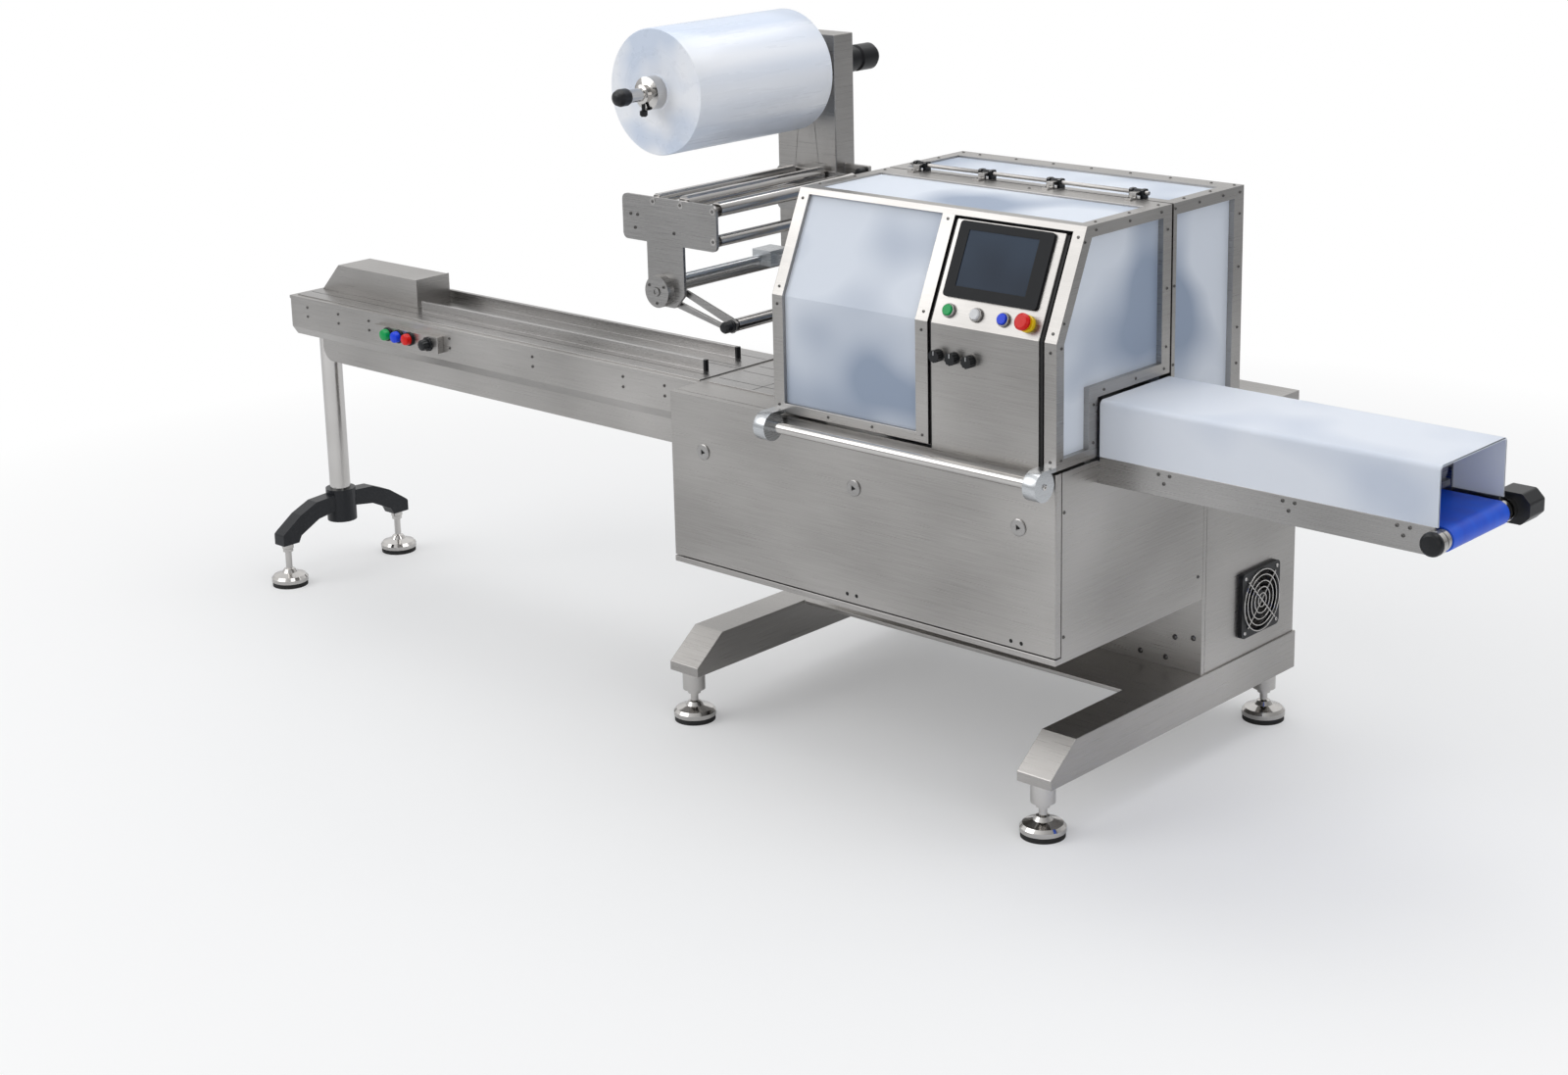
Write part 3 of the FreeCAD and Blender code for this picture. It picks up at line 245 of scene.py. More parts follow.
# Frosted polycarbonate: soft patches of painted light and painted shade standing in for the blurred view of what
# lies behind it, and a satin skin.
def frosted(name, shade, light, through):
    material, tree, shader, where = newMaterial(name)
    # Painted light and shade: this noise paints the blurred bright and dark shapes behind the pane into its
    # colour.
    paintedLightAndShade = stretchedNoise(tree, where.outputs["Object"], (3.4, 3.4, 3.8), 1.0, 1, 0.35)
    fine = stretchedNoise(tree, where.outputs["Object"], (700, 700, 700), 1.0, 2)
    tone = mixColour(tree, ranged(tree, paintedLightAndShade, 0, 1, 0.36, 0.58), shade, light)
    tree.links.new(tone, shader.inputs["Base Color"])
    tree.links.new(ranged(tree, fine, 0.38, 0.52), shader.inputs["Roughness"])
    shader.inputs["Transmission Weight"].default_value = through
    shader.inputs["IOR"].default_value = 1.35
    bumpTo(tree, shader, fine, 0.08, 0.0002)
    return material


# Wound film: white, with pale blue stripes round the roll that are painted sheen, reflected light laid into the
# colour.
def filmWhite():
    material, tree, shader, where = newMaterial("filmWhite")
    # Painted sheen: this noise puts lighter and bluer stripes of reflected light into the film's colour.
    paintedSheenBands = stretchedNoise(tree, where.outputs["Object"], (9, 0.5, 9), 1.0, 1, 0.4)
    fine = stretchedNoise(tree, where.outputs["Object"], (30, 2, 30), 1.0, 4, 0.6)
    tone = mixColour(tree, ranged(tree, paintedSheenBands, 0, 1, 0.38, 0.62), (0.62, 0.69, 0.81), (0.86, 0.88, 0.92))
    tree.links.new(tone, shader.inputs["Base Color"])
    tree.links.new(ranged(tree, fine, 0.22, 0.4), shader.inputs["Roughness"])
    shader.inputs["Coat Weight"].default_value = 0.15
    shader.inputs["Coat Roughness"].default_value = 0.2
    bumpTo(tree, shader, fine, 0.15, 0.0006)
    return material


# Belt cloth: saturated blue with a close weave.
def beltBlue():
    material, tree, shader, where = newMaterial("beltBlue")
    weave = tree.nodes.new("ShaderNodeTexWave")
    weave.inputs["Scale"].default_value = 260
    weave.bands_direction = "DIAGONAL"
    tree.links.new(where.outputs["Object"], weave.inputs["Vector"])
    cloud = stretchedNoise(tree, where.outputs["Object"], (6, 14, 6), 1.0, 3)
    tone = mixColour(tree, ranged(tree, cloud, 0, 1), (0.004, 0.065, 0.62), (0.012, 0.13, 0.82))
    tree.links.new(tone, shader.inputs["Base Color"])
    tree.links.new(ranged(tree, cloud, 0.38, 0.5), shader.inputs["Roughness"])
    bumpTo(tree, shader, weave.outputs["Fac"], 0.15, 0.0003)
    return material


# Unlit display: slate blue with a slow lighter bloom, under clear glass.
def displayDark():
    material, tree, shader, where = newMaterial("displayDark")
    bloom = stretchedNoise(tree, where.outputs["Object"], (5, 5, 5), 1.0, 1)
    tone = mixColour(tree, ranged(tree, bloom, 0, 1), (0.014, 0.024, 0.042), (0.035, 0.055, 0.088))
    tree.links.new(tone, shader.inputs["Base Color"])
    tree.links.new(ranged(tree, bloom, 0.2, 0.28), shader.inputs["Roughness"])
    shader.inputs["Specular IOR Level"].default_value = 0.12
    return material


steel = metal("panelSteel", (0.27, 0.26, 0.25), (0.46, 0.445, 0.43), 0.34)
plainSteel = metal("frameSteel", (0.25, 0.245, 0.24), (0.40, 0.39, 0.385), 0.3)
mirrorSteel = metal("polishedSteel", (0.42, 0.405, 0.39), (0.66, 0.645, 0.63), 0.12, 0.05, 0.04)
satinAluminium = metal("satinAluminium", (0.44, 0.46, 0.48), (0.58, 0.60, 0.62), 0.28, 0.08, 0.05)
boltSteel = metal("boltSteel", (0.05, 0.048, 0.046), (0.11, 0.105, 0.1), 0.3, 0.05, 0.05)
blackPlastic = plastic("blackPlastic", (0.007, 0.008, 0.010), 0.34, 0.0, 900, 0.12, 0.35)
blackRubber = plastic("blackRubber", (0.012, 0.012, 0.012), 0.7, 0, 600, 0.3)
castBlack = plastic("castBlack", (0.008, 0.010, 0.014), 0.32, 0.0, 400, 0.25, 0.4)
holeBlack = plastic("holeBlack", (0.004, 0.004, 0.004), 0.8)
bezelBlack = plastic("bezelBlack", (0.008, 0.009, 0.011), 0.4, 0.0, 1500, 0.04, 0.15)
frostPane = frosted("frostPane", (0.34, 0.41, 0.53), (0.78, 0.83, 0.91), 0.15)
frostCover = frosted("frostCover", (0.62, 0.68, 0.79), (0.82, 0.86, 0.93), 0.12)
film = filmWhite()
belt = beltBlue()
display = displayDark()
redCap = plastic("redCap", (0.72, 0.006, 0.004), 0.3, 0.0, 1200, 0.03, 0.3)
yellowRing = plastic("yellowRing", (0.86, 0.58, 0.004), 0.34, 0.0, 1200, 0.03, 0.3)
greenCap = plastic("greenCap", (0.002, 0.36, 0.09), 0.3, 0.0, 1200, 0.03, 0.3)
whiteCap = plastic("whiteCap", (0.74, 0.75, 0.76), 0.3, 0.0, 1200, 0.03, 0.3)
blueCap = plastic("blueCap", (0.003, 0.05, 0.72), 0.3, 0.0, 1200, 0.03, 0.3)
print("materials made")

finishes = {
    steel: ("front_panel electrical_cabinet guard_frame rear_hood_frame control_console infeed_channel "
            "tail_cover reel_column infeed_tray front_cabinet machine_frame station_box"),
    plainSteel: ("bed_plates roller_plates discharge_frame roller_pins dancer_arm sealing_unit hold_down "
                 "panel_locks button_collars"),
    mirrorSteel: ("levelling_feet guard_handle support_column idler_roller_a idler_roller_b idler_roller_c "
                  "idler_roller_d dancer_roller belt_rollers fan_grille mandrel"),
    satinAluminium: "handle_blocks tie_rod",
    blackPlastic: ("fan_frame fan_rotor rotary_knob_1 rotary_knob_2 rotary_knob_3 mandrel_knobs reel_brake "
                   "dancer_knob bearing_housings rail_ends"),
    blackRubber: "foot_pads console_seals",
    castBlack: "cast_foot",
    bezelBlack: "screen_bezel",
    display: "screen_display",
    frostPane: "guard_panes rear_hood_panes",
    frostCover: "tunnel_cover",
    film: "film_roll",
    belt: "discharge_belt",
    redCap: "emergency_stop",
    yellowRing: "stop_collar",
    greenCap: "green_button",
    whiteCap: "white_button",
    blueCap: "blue_button",
    holeBlack: "station_controls",
}
edgeJoin = 0.00002
edgeAngle = 38
softEdges = {  # node to the width of its rounded edges in millimetres
    "front_panel": 1.2, "front_cabinet": 1.0, "electrical_cabinet": 1.5, "guard_frame": 0.9,
    "rear_hood_frame": 0.9, "control_console": 1.5, "infeed_channel": 1.2, "roller_plates": 0.8,
    "discharge_frame": 0.8, "handle_blocks": 1.5, "reel_column": 2.5, "machine_frame": 1.5,
    "tail_cover": 1.2, "bed_plates": 0.8, "infeed_tray": 1.0, "dancer_arm": 1.0, "tie_rod": 0.8,
    "station_box": 1.5, "screen_bezel": 0.8,
}


# Each node gets its finish, and a welded and rounded edge where a width is given.
def dressNodes():
    for material, names in finishes.items():
        for name in names.split():
            mesh = nodes[name].data
            mesh.materials.clear()
            mesh.materials.append(material)
    for name, width in softEdges.items():
        weld = nodes[name].modifiers.new("weld", "WELD")
        weld.merge_threshold = edgeJoin
        bevel = nodes[name].modifiers.new("edge", "BEVEL")
        bevel.width = width / 1000
        bevel.segments = 2
        bevel.limit_method = "ANGLE"
        bevel.angle_limit = math.radians(edgeAngle)
        bevel.use_clamp_overlap = True


dressNodes()
print("frame dressed")


# Three columns: two sides and the way itself.
def turnTo(way):
    way = np.array(way, float)
    way /= np.linalg.norm(way)
    side = np.cross((0, 0, 1), way) if abs(way[2]) < 0.9 else np.cross((0, 1, 0), way)
    side /= np.linalg.norm(side)
    return np.stack((side, np.cross(way, side), way), axis=1)


# Quads between neighbours on a grid of rows by columns, closed round the columns if wrap.
def gridFaces(rows, columns, wrap):
    row = np.arange(rows - 1)[:, None]
    column = np.arange(columns if wrap else columns - 1)[None, :]
    after = (column + 1) % columns
    corners = (row * columns + column, row * columns + after, (row + 1) * columns + after,
               (row + 1) * columns + column)
    spread = [np.broadcast_to(corner, (rows - 1, column.shape[1])) for corner in corners]
    return np.stack(spread, axis=-1).reshape(-1, 4)


# Point (row, t) = (r cos t, r sin t, h) for the profile's rows of radius r and height h, in millimetres.
def lathe(profile, sides=32, phase=0.0):
    profile = np.array(profile, float) / 1000
    t = np.linspace(0, 2 * np.pi, sides, endpoint=False) + phase
    points = np.stack((profile[:, :1] * np.cos(t), profile[:, :1] * np.sin(t),
                       np.broadcast_to(profile[:, 1:], (len(profile), sides))), axis=-1).reshape(-1, 3)
    return points, gridFaces(len(profile), sides, True)


# A closed section of (across, up) millimetres carried straight from start to end, with both ends capped.
def swept(section, start, end):
    start, end = np.array(start, float), np.array(end, float)
    turn = turnTo(end - start)
    section = np.array(section, float) / 1000
    middle = section.mean(axis=0)
    rings = [(start, middle + 0 * section), (start, section), (end, section), (end, middle + 0 * section)]
    points = np.concatenate([at + flat[:, :1] * turn[:, 0] + flat[:, 1:] * turn[:, 1] for at, flat in rings])
    return points, gridFaces(4, len(section), True)


# The shape set down at each spot, its own Z turned to the spot's way.
def copies(shape, spots):
    points, faces = shape
    allPoints = [points @ turnTo(way).T + at for at, way in spots]
    allFaces = [faces + number * len(points) for number in range(len(spots))]
    return np.concatenate(allPoints), np.concatenate(allFaces)


# Several shapes as one, each one's faces counted on from the points before it.
def merged(*shapes):
    points, faces, count = [], [], 0
    for shapePoints, shapeFaces in shapes:
        points.append(shapePoints)
        faces.append(shapeFaces + count)
        count += len(shapePoints)
    return np.concatenate(points), np.concatenate(faces)


joinDistance = 0.000002


# The shape as a mesh: poles and seams closed, faces outwards, smooth below the sharp angle in degrees.
def makePiece(name, shape, material, body="machine", sharp=35):
    points, faces = shape
    mesh = bpy.data.meshes.new(name)
    mesh.from_pydata(points.tolist(), [], faces.tolist())
    mesh.update()
    tidy = bmesh.new()
    tidy.from_mesh(mesh)
    bmesh.ops.remove_doubles(tidy, verts=tidy.verts, dist=joinDistance)
    bmesh.ops.dissolve_degenerate(tidy, dist=joinDistance, edges=tidy.edges)
    bmesh.ops.recalc_face_normals(tidy, faces=tidy.faces)
    tidy.to_mesh(mesh)
    tidy.free()
    mesh.materials.append(material)
    mesh.shade_smooth()
    mesh.set_sharp_from_angle(angle=math.radians(sharp))
    piece = bpy.data.objects.new(name, mesh)
    bpy.context.scene.collection.objects.link(piece)
    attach(piece, body)
    return piece


screw = {"radius": 3.9, "tall": 2.2, "socket": 1.7, "deep": 1.4, "sides": 14}
screwSizes = {"body": 1.15, "frame": 1.9, "plate": 1.2, "pivot": 1.1, "fan": 1.3, "hinge": 0.8}


# Screw head: radius against height, from the floor of its socket over the brim down to its seat.
def screwShape(size=1.0):
    r, h, s, d = (screw[key] * size for key in ("radius", "tall", "socket", "deep"))
    profile = [(0, h - d), (s, h - d), (s, h), (r * 0.62, h), (r * 0.9, h * 0.6), (r, h * 0.15), (r, -0.6)]
    return lathe(profile, screw["sides"])


right, left, forward, backward, upward = (1, 0, 0), (-1, 0, 0), (0, -1, 0), (0, 1, 0), (0, 0, 1)
leaning = (0, -1, 0.45)
hood = {"left": -817, "right": 45, "front": -15, "rear": 729, "top": 1447, "knee": 1198, "run": 0.45,
        "bar": 17, "post": -345}
hoodSpots = {  # depth and height on an end, or depth or height of a row
    "guardEnd": ((3, 925), (3, 1185), (12, 1240), (88, 1412), (125, 940), (125, 1030), (165, 1058), (290, 1058),
                 (404, 1058), (411, 1110), (411, 1250), (411, 1390), (130, 1434), (260, 1434), (385, 1434)),
    "rearEnd": ((441, 1434), (540, 1434), (640, 1434), (712, 925), (712, 1010), (712, 1100), (712, 1250),
                (712, 1380), (712, 1432), (441, 1060), (441, 1250), (600, 909), (500, 909)),
    "upright": (922, 1176), "leaning": (1218, 1422), "sill": (-640, -500), "sillHeight": 915,
    "guardTop": (150, 280), "guardBack": 396, "rearTop": (500, 610, 712), "topRow": 705,
    "rearRows": (1434, 909), "acrossFrom": -740, "acrossTo": -32, "across": 7,
}


# Depth of the hood's front at a height: upright to the knee, then leaning back by run for every unit up.
def faceY(z):
    return hood["front"] + max(0, z - hood["knee"]) * hood["run"]


# A screw head at every place along the bars of both halves of the hood, turned to its face.
def hoodScrews():
    guardSpots, rearSpots = [], []
    for x, way in ((hood["right"], right), (hood["left"], left)):
        guardSpots += [(place(x, y, z), way) for y, z in hoodSpots["guardEnd"]]
        rearSpots += [(place(x, y, z), way) for y, z in hoodSpots["rearEnd"]]
    bars = (hood["left"] + hood["bar"], hood["right"] - hood["bar"])
    for x in (bars[0], hood["post"], bars[1]):
        guardSpots += [(place(x, faceY(z), z), forward) for z in hoodSpots["upright"]]
        guardSpots += [(place(x, faceY(z), z), leaning) for z in hoodSpots["leaning"]]
        guardSpots.append((place(x, hoodSpots["guardBack"], hood["top"]), upward))
    for x in hoodSpots["sill"]:
        guardSpots.append((place(x, hood["front"], hoodSpots["sillHeight"]), forward))
    for x in bars:
        guardSpots += [(place(x, y, hood["top"]), upward) for y in hoodSpots["guardTop"]]
        rearSpots += [(place(x, y, hood["top"]), upward) for y in hoodSpots["rearTop"]]
    for x in np.linspace(hoodSpots["acrossFrom"], hoodSpots["acrossTo"], hoodSpots["across"]):
        rearSpots.append((place(x, hoodSpots["topRow"], hood["top"]), upward))
        rearSpots += [(place(x, hood["rear"], z), backward) for z in hoodSpots["rearRows"]]
    makePiece("guard_screws", copies(screwShape(), guardSpots), boltSteel, "guard")
    makePiece("rear_hood_screws", copies(screwShape(), rearSpots), boltSteel)


channel = {"front": 89, "rear": 425, "rows": (866, 838), "at": (-2837, -2688, -2543, -2178, -1826, -1466, -1309)}
discharge = {"front": 142, "rear": 428, "at": (228, 551, 828), "trio": ((-15, 892), (15, 892), (0, 872))}
cabinet = {"left": -1184, "right": 45, "front": -15, "rear": 1010, "wall": 585, "deck": 905,
           "corners": ((16, 800), (16, 500), (564, 800), (564, 500)),
           "coverRows": (262, 854), "coverSides": (-1158, 20), "coverHeights": (400, 560, 720),
           "deckAcross": (-1324, -1098), "deckDeep": (548, 647),
           "bolts": ((-136, 261), (-60, 261), (-33, 320), (21, 329), (-1100, 261), (-1150, 320)),
           "holes": ((-573, 475), (-68, 470)), "holeStep": 15, "coverAcross": (-1150, 10, 6),
           "locks": 751, "frontLocks": (-1069, -561, -61), "rearLocks": (-1069, -61)}


# Screw heads in pairs, trios and rows on the channel, the discharge sides, the cabinets and the deck.
def bodyScrews():
    spots = []
    for x in channel["at"]:
        spots += [(place(x, channel["front"], z), forward) for z in channel["rows"]]
        spots += [(place(x, channel["rear"], z), backward) for z in channel["rows"]]
    for x in discharge["at"]:
        for dx, z in discharge["trio"]:
            spots.append((place(x + dx, discharge["front"], z), forward))
            spots.append((place(x + dx, discharge["rear"], z), backward))
    spots += [(place(cabinet["right"], y, z), right) for y, z in cabinet["corners"]]
    spots += [(place(cabinet["left"], y, z), left) for y, z in cabinet["corners"]]
    for x in np.linspace(*cabinet["coverAcross"]):
        spots += [(place(x, cabinet["rear"], z), backward) for z in cabinet["coverRows"]]
    for z in cabinet["coverHeights"]:
        spots += [(place(x, cabinet["rear"], z), backward) for x in cabinet["coverSides"]]
    spots += [(place(x, y, cabinet["deck"]), upward) for x in cabinet["deckAcross"] for y in cabinet["deckDeep"]]
    makePiece("body_screws", copies(screwShape(screwSizes["body"]), spots), boltSteel)
    wall = [(place(x, cabinet["wall"], z), forward) for x, z in cabinet["bolts"]]
    makePiece("frame_bolts", copies(screwShape(screwSizes["frame"]), wall), boltSteel)
    pair = (-cabinet["holeStep"], cabinet["holeStep"])
    holes = [(place(x + dx, cabinet["front"], z), forward) for x, z in cabinet["holes"] for dx in pair]
    # Painted shade: each hole is a black disc a hair proud of the panel, standing in for the dark inside of the
    # hole.
    holeShadeDisc = lathe([(0, 0.3), (4.2, 0.3), (5, 0.1), (5, -0.4)], 20)
    makePiece("panel_hole_shade", copies(holeShadeDisc, holes), holeBlack)


plate = {"front": 16, "shafts": ((-1253, 1375), (-1155, 1375), (-1042, 1371), (-1042, 1294)),
         "screws": ((-1335, 1335), (-1310, 1335), (-1180, 1300), (-1320, 1300))}
pivot = {"x": -1236, "y": 2, "z": 1144, "circle": 30, "angles": (30, 150, 270)}


# Each dead shaft ends in a socket screw and washer on the front plate; the pivot disc has a ring of three.
def rollerScrews():
    shafts = [(place(x, plate["front"], z), forward) for x, z in plate["shafts"]]
    washer = lathe([(0, 1.2), (9, 1.2), (9.4, 0.8), (9.4, -0.4)], 28)
    makePiece("shaft_washers", copies(washer, shafts), mirrorSteel)
    small = [(place(x, plate["front"], z), forward) for x, z in plate["screws"]]
    makePiece("plate_screws", copies(screwShape(screwSizes["plate"]), shafts + small), boltSteel)
    ring = lathe([(0, 0.6), (5, 0.6), (8, 0.9), (8, 3.0), (11, 3.0), (11, -0.2)], 32)
    middle = (place(pivot["x"], pivot["y"], pivot["z"]), forward)
    makePiece("pivot_ring", copies(ring, [middle]), plainSteel)
    spots = [(place(pivot["x"] + pivot["circle"] * math.cos(a), pivot["y"],
                    pivot["z"] + pivot["circle"] * math.sin(a)), forward) for a in np.radians(pivot["angles"])]
    makePiece("pivot_screws", copies(screwShape(screwSizes["pivot"]), spots), boltSteel)


# Each lock's key is a three-sided plate with its point upwards.
def lockKeys():
    spots = [(place(x, cabinet["front"], cabinet["locks"]), forward) for x in cabinet["frontLocks"]]
    spots += [(place(x, cabinet["rear"], cabinet["locks"]), backward) for x in cabinet["rearLocks"]]
    triangle = lathe([(0, 2.9), (8.6, 2.9), (8.9, 2.6)], 3, math.pi / 2)
    makePiece("lock_keys", copies(triangle, spots), holeBlack, sharp=20)


hoodScrews()
bodyScrews()
rollerScrews()
lockKeys()
print("screws and locks set")


roll = {"inner": 38.2, "core": 44, "outer": 160, "front": 0, "rear": 490, "winds": 46, "sides": 128,
        "x": -1213, "z": 1659, "step": 0.25, "most": 0.9, "sag": 0.15}


# Film wound on a core: radius against depth round the Y axis, each end stepping a little from wind to wind.
def filmRoll():
    rng = np.random.default_rng(7)
    radii = np.linspace(roll["core"], roll["outer"] - 2, roll["winds"])
    step = rng.normal(0, roll["step"], roll["winds"]).cumsum()
    step = np.clip(step - step.mean(), -roll["most"], roll["most"])
    frontRows = [(roll["inner"], roll["front"] - 1.0), (roll["core"] - 0.4, roll["front"] - 1.0)]
    frontRows += list(zip(radii, roll["front"] + 1.0 + step))
    edge = [(roll["outer"], roll["front"] + 3), (roll["outer"], 120), (roll["outer"] - roll["sag"], 240),
            (roll["outer"], 360), (roll["outer"], roll["rear"] - 3)]
    rearRows = list(zip(radii[::-1], roll["rear"] - 1.0 - step[::-1]))
    rearRows += [(roll["core"] - 0.4, roll["rear"] + 0.5), (roll["inner"], roll["rear"] + 0.5),
                 (roll["inner"], roll["front"] - 1.0)]
    profile = lathe(frontRows + edge + rearRows, roll["sides"])
    shape = copies(profile, [(place(roll["x"], 0, roll["z"]), backward)])
    piece = makePiece("wound_film", shape, film, "film_reel", 50)
    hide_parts("film_roll")


console = {"row": 1229, "buttons": (-271, -191, -113), "proud": 0.0045,
           "knobs": (-291, -244, -196), "knobFace": -38.2,
           "markFrom": 1127, "markTo": 1137, "markHalf": (0.7, 0.5)}
station = {"y": 67, "z": 848, "knobX": -2248, "knobZ": 844,
           "flutes": 12, "radius": 15.5, "swell": 0.8, "sides": 60,
           "caps": ((-2425, greenCap, "green_cap"), (-2377, blueCap, "blue_cap"), (-2328, redCap, "red_cap"))}


# A ring of rounded section round each button, and a thin white bar on each knob's face.
def consoleTrim():
    out = np.array(leaning) / np.linalg.norm(leaning)
    y = faceY(console["row"])
    rings = [(place(x, y, console["row"]) + out * console["proud"], leaning) for x in console["buttons"]]
    ring = lathe([(13.4, -1), (13.4, 2.6), (14.4, 3.4), (16.2, 2.6), (17.2, 0.4), (17.2, -1), (13.4, -1)], 40)
    makePiece("button_rings", copies(ring, rings), mirrorSteel)
    wide, deep = console["markHalf"]
    section = [(-wide, -deep), (wide, -deep), (wide, deep), (-wide, deep)]
    for number, x in enumerate(console["knobs"], 1):
        low, high = (place(x, console["knobFace"], console[end]) for end in ("markFrom", "markTo"))
        makePiece(f"knob_mark_{number}", swept(section, low, high), whiteCap, f"knob_{number}")


# Station caps and bases are turned forms; the knob's radius at angle t is radius + swell cos(flutes t).
def stationControls():
    cap = lathe([(0, 25), (12, 24.6), (15.2, 22.6), (16.6, 18), (16.6, 8), (15.5, 7)], 36)
    for x, material, slot in station["caps"]:
        shape = copies(cap, [(place(x, station["y"], station["z"]), forward)])
        makePiece(f"station_cap_{slot.split('_')[0]}", shape, material)
    base = lathe([(0, 7.4), (19.4, 7.4), (20.4, 6), (20.4, -0.5)], 36)
    spots = [(place(x, station["y"], station["z"]), forward) for x, material, slot in station["caps"]]
    makePiece("station_bases", copies(base, spots), blackPlastic)
    t = np.linspace(0, 2 * np.pi, station["sides"], endpoint=False)
    flutes = station["radius"] + station["swell"] * np.cos(station["flutes"] * t)
    rows = [(0.0, 28.0), (0.72, 28.0), (0.92, 26.0), (1.0, 22.0), (1.0, 7.0), (1.28, 6.0), (1.32, 0.0)]
    points = np.concatenate([np.stack((k * flutes * np.cos(t), k * flutes * np.sin(t), h + 0 * t), axis=-1)
                             for k, h in rows]) / 1000
    knob = (points, gridFaces(len(rows), station["sides"], True))
    spot = (place(station["knobX"], station["y"], station["knobZ"]), forward)
    makePiece("station_knob", copies(knob, [spot]), blackPlastic)
    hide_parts("station_controls")


handle = {"y": -58.5, "z": 877}


# A washer-headed screw in each end block: radius against height.
def handleScrews():
    ends = ((hood["right"], right), (hood["left"], left))
    spots = [(place(x, handle["y"], handle["z"]), way) for x, way in ends]
    head = lathe([(0, 0.6), (3.2, 0.6), (3.2, 2.8), (6, 2.8), (7.4, 2), (7.6, -0.4)], 28)
    makePiece("handle_screws", copies(head, spots), mirrorSteel, "guard")


feet = {"across": (0, -1146), "deep": (0, 949), "nut": 74,
        "legX": -2890, "legY": 205, "legHalf": 215, "legNut": 105}


# A six-sided nut with eased edges on every levelling stem.
def footNuts():
    nut = lathe([(0, 0), (14, 0), (15.6, 1), (15.6, 11), (14, 12), (0, 12)], 6)
    spots = [(place(x, y, feet["nut"]), upward) for x in feet["across"] for y in feet["deep"]]
    spots += [(place(feet["legX"], feet["legY"] + s * feet["legHalf"], feet["legNut"]), upward) for s in (-1, 1)]
    makePiece("foot_nuts", copies(nut, spots), mirrorSteel, sharp=20)


deck = {"z": 898.05, "half": 0.8, "thick": 0.15,
        "runs": (((-1165, 150), (-820, 150)), ((-1165, 240), (-820, 240)), ((-1165, 300), (-820, 300)),
                 ((-1010, 110), (-1010, 400)), ((-2890, 150), (-1200, 150)), ((-2440, 250), (-1200, 250)),
                 ((-2440, 270), (-1200, 270)), ((-2890, 365), (-1200, 365)))}


# Seams between the deck sheets: narrow dark strips a hair above the plate, painted shade standing in for the
# gaps between the sheets.
def deckLines():
    wide, high = deck["half"], deck["thick"]
    section = [(-wide, -high), (wide, -high), (wide, high), (-wide, high)]
    strips = [swept(section, place(*start, deck["z"]), place(*end, deck["z"])) for start, end in deck["runs"]]
    makePiece("deck_seam_shade", merged(*strips), holeBlack)


cover = {"x": 906, "near": 144, "far": 426, "low": 906, "high": 1030, "top": 1036, "inset": 8}


# The bent cover's bright sawn rim at its open end: a square bar up each side and one over the top.
def tunnelTrim():
    section = [(-1, -1), (1, -1), (1, 1), (-1, 1)]
    sides = [swept(section, place(cover["x"], y, cover["low"]), place(cover["x"], y, cover["high"]))
             for y in (cover["near"], cover["far"])]
    over = swept(section, place(cover["x"], cover["near"] + cover["inset"], cover["top"]),
                 place(cover["x"], cover["far"] - cover["inset"], cover["top"]))
    makePiece("cover_rim", merged(*sides, over), whiteCap)


fan = {"x": 57, "y": 833, "z": 371, "half": 72}


# A screw in each corner of a square round the fan's axis.
def fanScrews():
    spots = [(place(fan["x"], fan["y"] + a * fan["half"], fan["z"] + b * fan["half"]), right)
             for a in (-1, 1) for b in (-1, 1)]
    makePiece("fan_screws", copies(screwShape(screwSizes["fan"]), spots), mirrorSteel)


hinge = {"at": (-722, -514, -305, -64), "y": 448, "screwY": 415, "screwZ": 1451, "screwHalf": 5,
         "clipZ": 1457, "clipWide": 9.2, "clipStarts": (-20.6, 11.4), "rodZ": 1460, "barrelHalf": 10.3,
         "barrelRadius": 8.6, "sides": 24}


# Two fixed clips with bevelled shoulders beside each turning barrel, whose section is a circle.
def hingeLeaves():
    pair = (-hinge["screwHalf"], hinge["screwHalf"])
    spots = [(place(x + dx, hinge["screwY"], hinge["screwZ"]), upward) for x in hinge["at"] for dx in pair]
    makePiece("hinge_screws", copies(screwShape(screwSizes["hinge"]), spots), boltSteel, "guard")
    clip = [(-10, -10), (10, -10), (10, 9), (7, 12), (-7, 12), (-10, 9)]
    t = np.linspace(0, 2 * np.pi, hinge["sides"], endpoint=False)
    barrel = np.stack((hinge["barrelRadius"] * np.cos(t), hinge["barrelRadius"] * np.sin(t)), axis=1)
    fixed, moving = [], []
    for x in hinge["at"]:
        for start in hinge["clipStarts"]:
            ends = (place(x + start + run, hinge["y"], hinge["clipZ"]) for run in (0, hinge["clipWide"]))
            fixed.append(swept(clip, *ends))
        ends = (place(x + s * hinge["barrelHalf"], hinge["y"], hinge["rodZ"]) for s in (-1, 1))
        moving.append(swept(barrel, *ends))
    makePiece("hinge_clips", merged(*fixed), blackPlastic)
    makePiece("hinge_barrels", merged(*moving), blackPlastic, "guard")


bracket = {"x": -1040, "y": 594, "z": 1389}


# A small black knob on the end of the bracket beside the reel column: radius against distance out.
def filmBracketKnob():
    knob = lathe([(0, 30), (8, 29), (12, 25), (13, 18), (12, 6), (9, 3), (6, 0), (6, -12), (0, -12)], 32)
    spot = (place(bracket["x"], bracket["y"], bracket["z"]), forward)
    makePiece("bracket_knob", copies(knob, [spot]), blackPlastic)


filmRoll()
consoleTrim()
stationControls()
handleScrews()
footNuts()
deckLines()
tunnelTrim()
fanScrews()
hingeLeaves()
filmBracketKnob()
print("trim made")


studio = {"floor": 60.0, "fadeFrom": 1.5, "fadeTo": 4.0, "aim": (0, 0, 0.9), "world": 0.5}
lamps = {  # place, width and power
    "key": ((-3.2, -4.6, 4.4), 4.5, 130),
    "fill": ((5.0, -2.0, 2.2), 2.4, 26),
    "top": ((0.5, 0.8, 5.5), 4.5, 130),
}


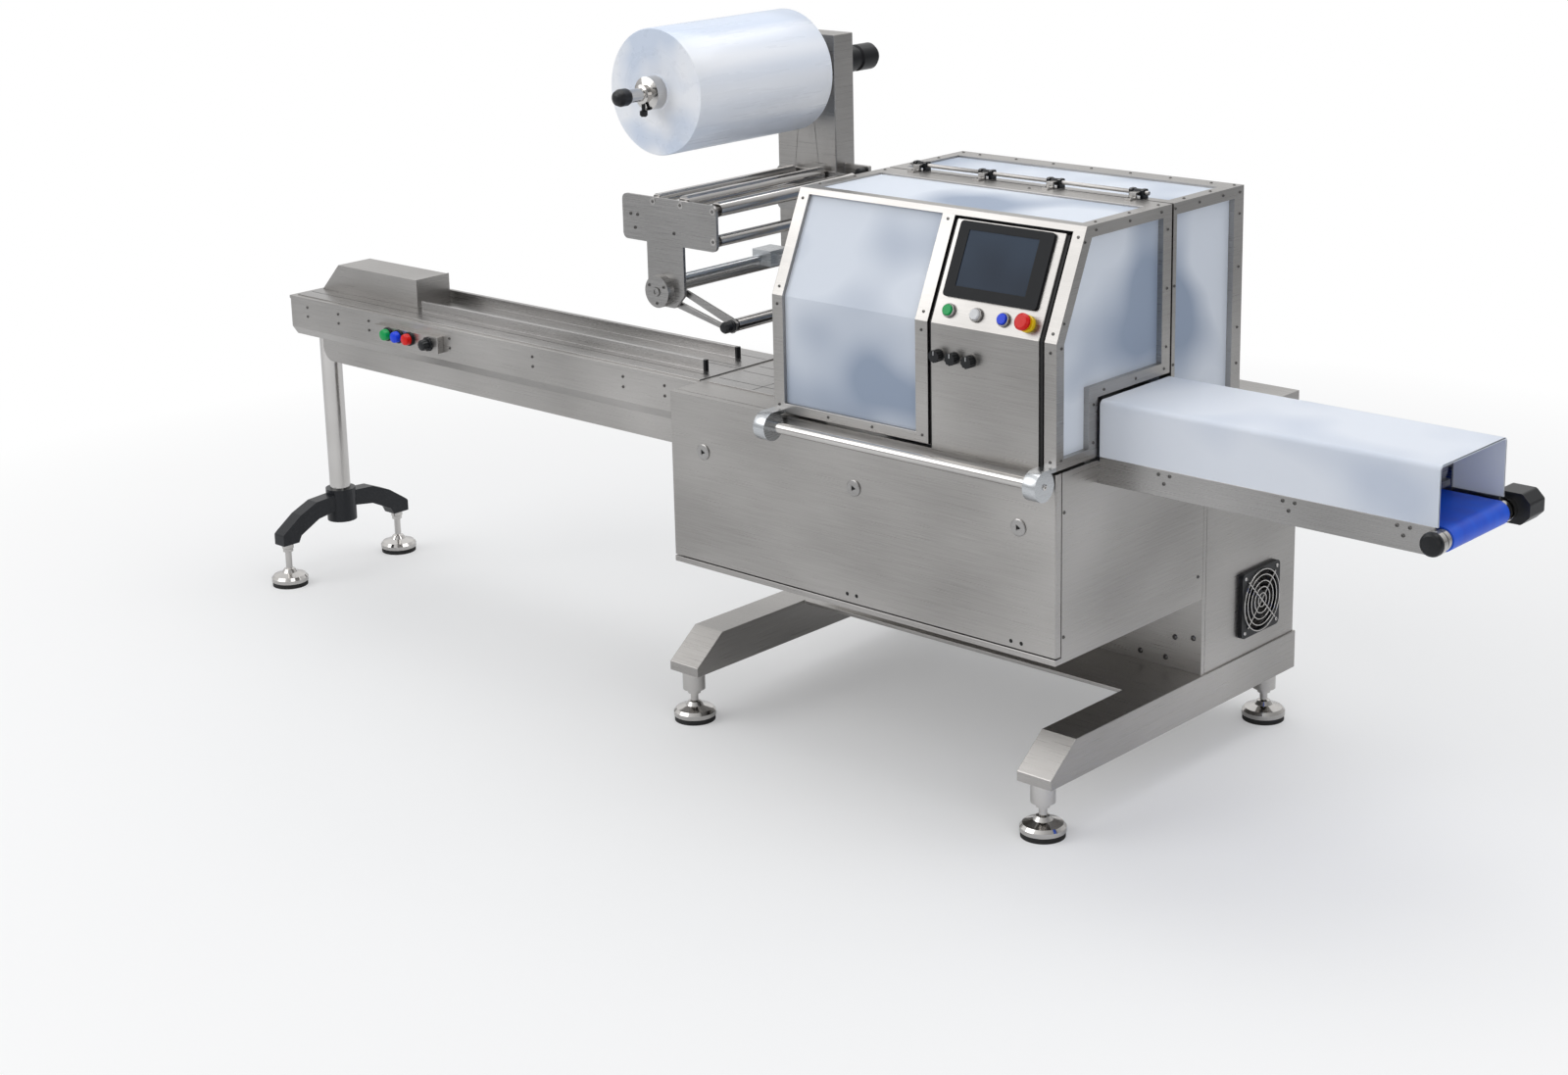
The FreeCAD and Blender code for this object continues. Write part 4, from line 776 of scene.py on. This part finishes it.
# A pale floor that fades to plain white away from the machine.
def layFloor():
    size = studio["floor"]
    points = np.array(((-size, -size, 0), (size, -size, 0), (size, size, 0), (-size, size, 0)), float)
    mesh = bpy.data.meshes.new("floor")
    mesh.from_pydata(points.tolist(), [], [(0, 1, 2, 3)])
    floor = bpy.data.objects.new("floor", mesh)
    bpy.context.scene.collection.objects.link(floor)
    material, tree, shader, where = newMaterial("paleFloor")
    shader.inputs["Base Color"].default_value = (0.9, 0.9, 0.9, 1)
    shader.inputs["Roughness"].default_value = 0.8
    shader.inputs["Specular IOR Level"].default_value = 0.1
    glow = tree.nodes.new("ShaderNodeEmission")
    glow.inputs["Strength"].default_value = 1
    glow.inputs["Color"].default_value = (1, 1, 1, 1)
    away = tree.nodes.new("ShaderNodeVectorMath")
    away.operation = "LENGTH"
    tree.links.new(where.outputs["Object"], away.inputs[0])
    fade = ranged(tree, away.outputs["Value"], 0.25, 1.0, studio["fadeFrom"], studio["fadeTo"])
    rays = tree.nodes.new("ShaderNodeLightPath")
    seen = mathNode(tree, "MAXIMUM", rays.outputs["Is Camera Ray"], rays.outputs["Is Transmission Ray"])
    mix = tree.nodes.new("ShaderNodeMixShader")
    tree.links.new(mathNode(tree, "MULTIPLY", seen, fade), mix.inputs[0])
    tree.links.new(shader.outputs[0], mix.inputs[1])
    tree.links.new(glow.outputs[0], mix.inputs[2])
    tree.links.new(mix.outputs[0], tree.nodes["Material Output"].inputs["Surface"])
    mesh.materials.append(material)


# White to the camera; steel and frosted panes see a sky that darkens to the right and towards the floor.
def lightStudio():
    world = bpy.data.worlds.new("studio")
    bpy.context.scene.world = world
    world.use_nodes = True
    tree = world.node_tree
    background = tree.nodes["Background"]
    background.inputs["Color"].default_value = (0.95, 0.97, 1, 1)
    background.inputs["Strength"].default_value = studio["world"]
    bright = tree.nodes.new("ShaderNodeBackground")
    bright.inputs["Strength"].default_value = 1
    where = tree.nodes.new("ShaderNodeTexCoord")
    parts = tree.nodes.new("ShaderNodeSeparateXYZ")
    tree.links.new(where.outputs["Generated"], parts.inputs[0])
    side = ranged(tree, parts.outputs[0], 1.0, 0.34, -0.1, 0.8)
    height = ranged(tree, parts.outputs[2], 0.62, 1.0, 0.0, 0.45)
    shade = mathNode(tree, "MULTIPLY", side, height)
    rays = tree.nodes.new("ShaderNodeLightPath")
    direct = rays.outputs["Is Camera Ray"]
    combine = tree.nodes.new("ShaderNodeCombineColor")
    for slot in range(3):
        tree.links.new(mathNode(tree, "MAXIMUM", shade, direct), combine.inputs[slot])
    tree.links.new(combine.outputs[0], bright.inputs["Color"])
    seen = mathNode(tree, "MAXIMUM", direct, mathNode(
        tree, "MAXIMUM", rays.outputs["Is Glossy Ray"], rays.outputs["Is Transmission Ray"]))
    mix = tree.nodes.new("ShaderNodeMixShader")
    tree.links.new(seen, mix.inputs[0])
    tree.links.new(background.outputs[0], mix.inputs[1])
    tree.links.new(bright.outputs[0], mix.inputs[2])
    tree.links.new(mix.outputs[0], tree.nodes["World Output"].inputs["Surface"])
    for name, (at, width, power) in lamps.items():
        data = bpy.data.lights.new(name, "AREA")
        data.shape = "SQUARE"
        data.size = width
        data.energy = power
        lamp = bpy.data.objects.new(name, data)
        lamp.location = at
        toward = Vector(studio["aim"]) - Vector(at)
        lamp.rotation_euler = toward.to_track_quat("-Z", "Y").to_euler()
        bpy.context.scene.collection.objects.link(lamp)
    bpy.context.scene.view_settings.view_transform = "Standard"


layFloor()
lightStudio()
print("lit")
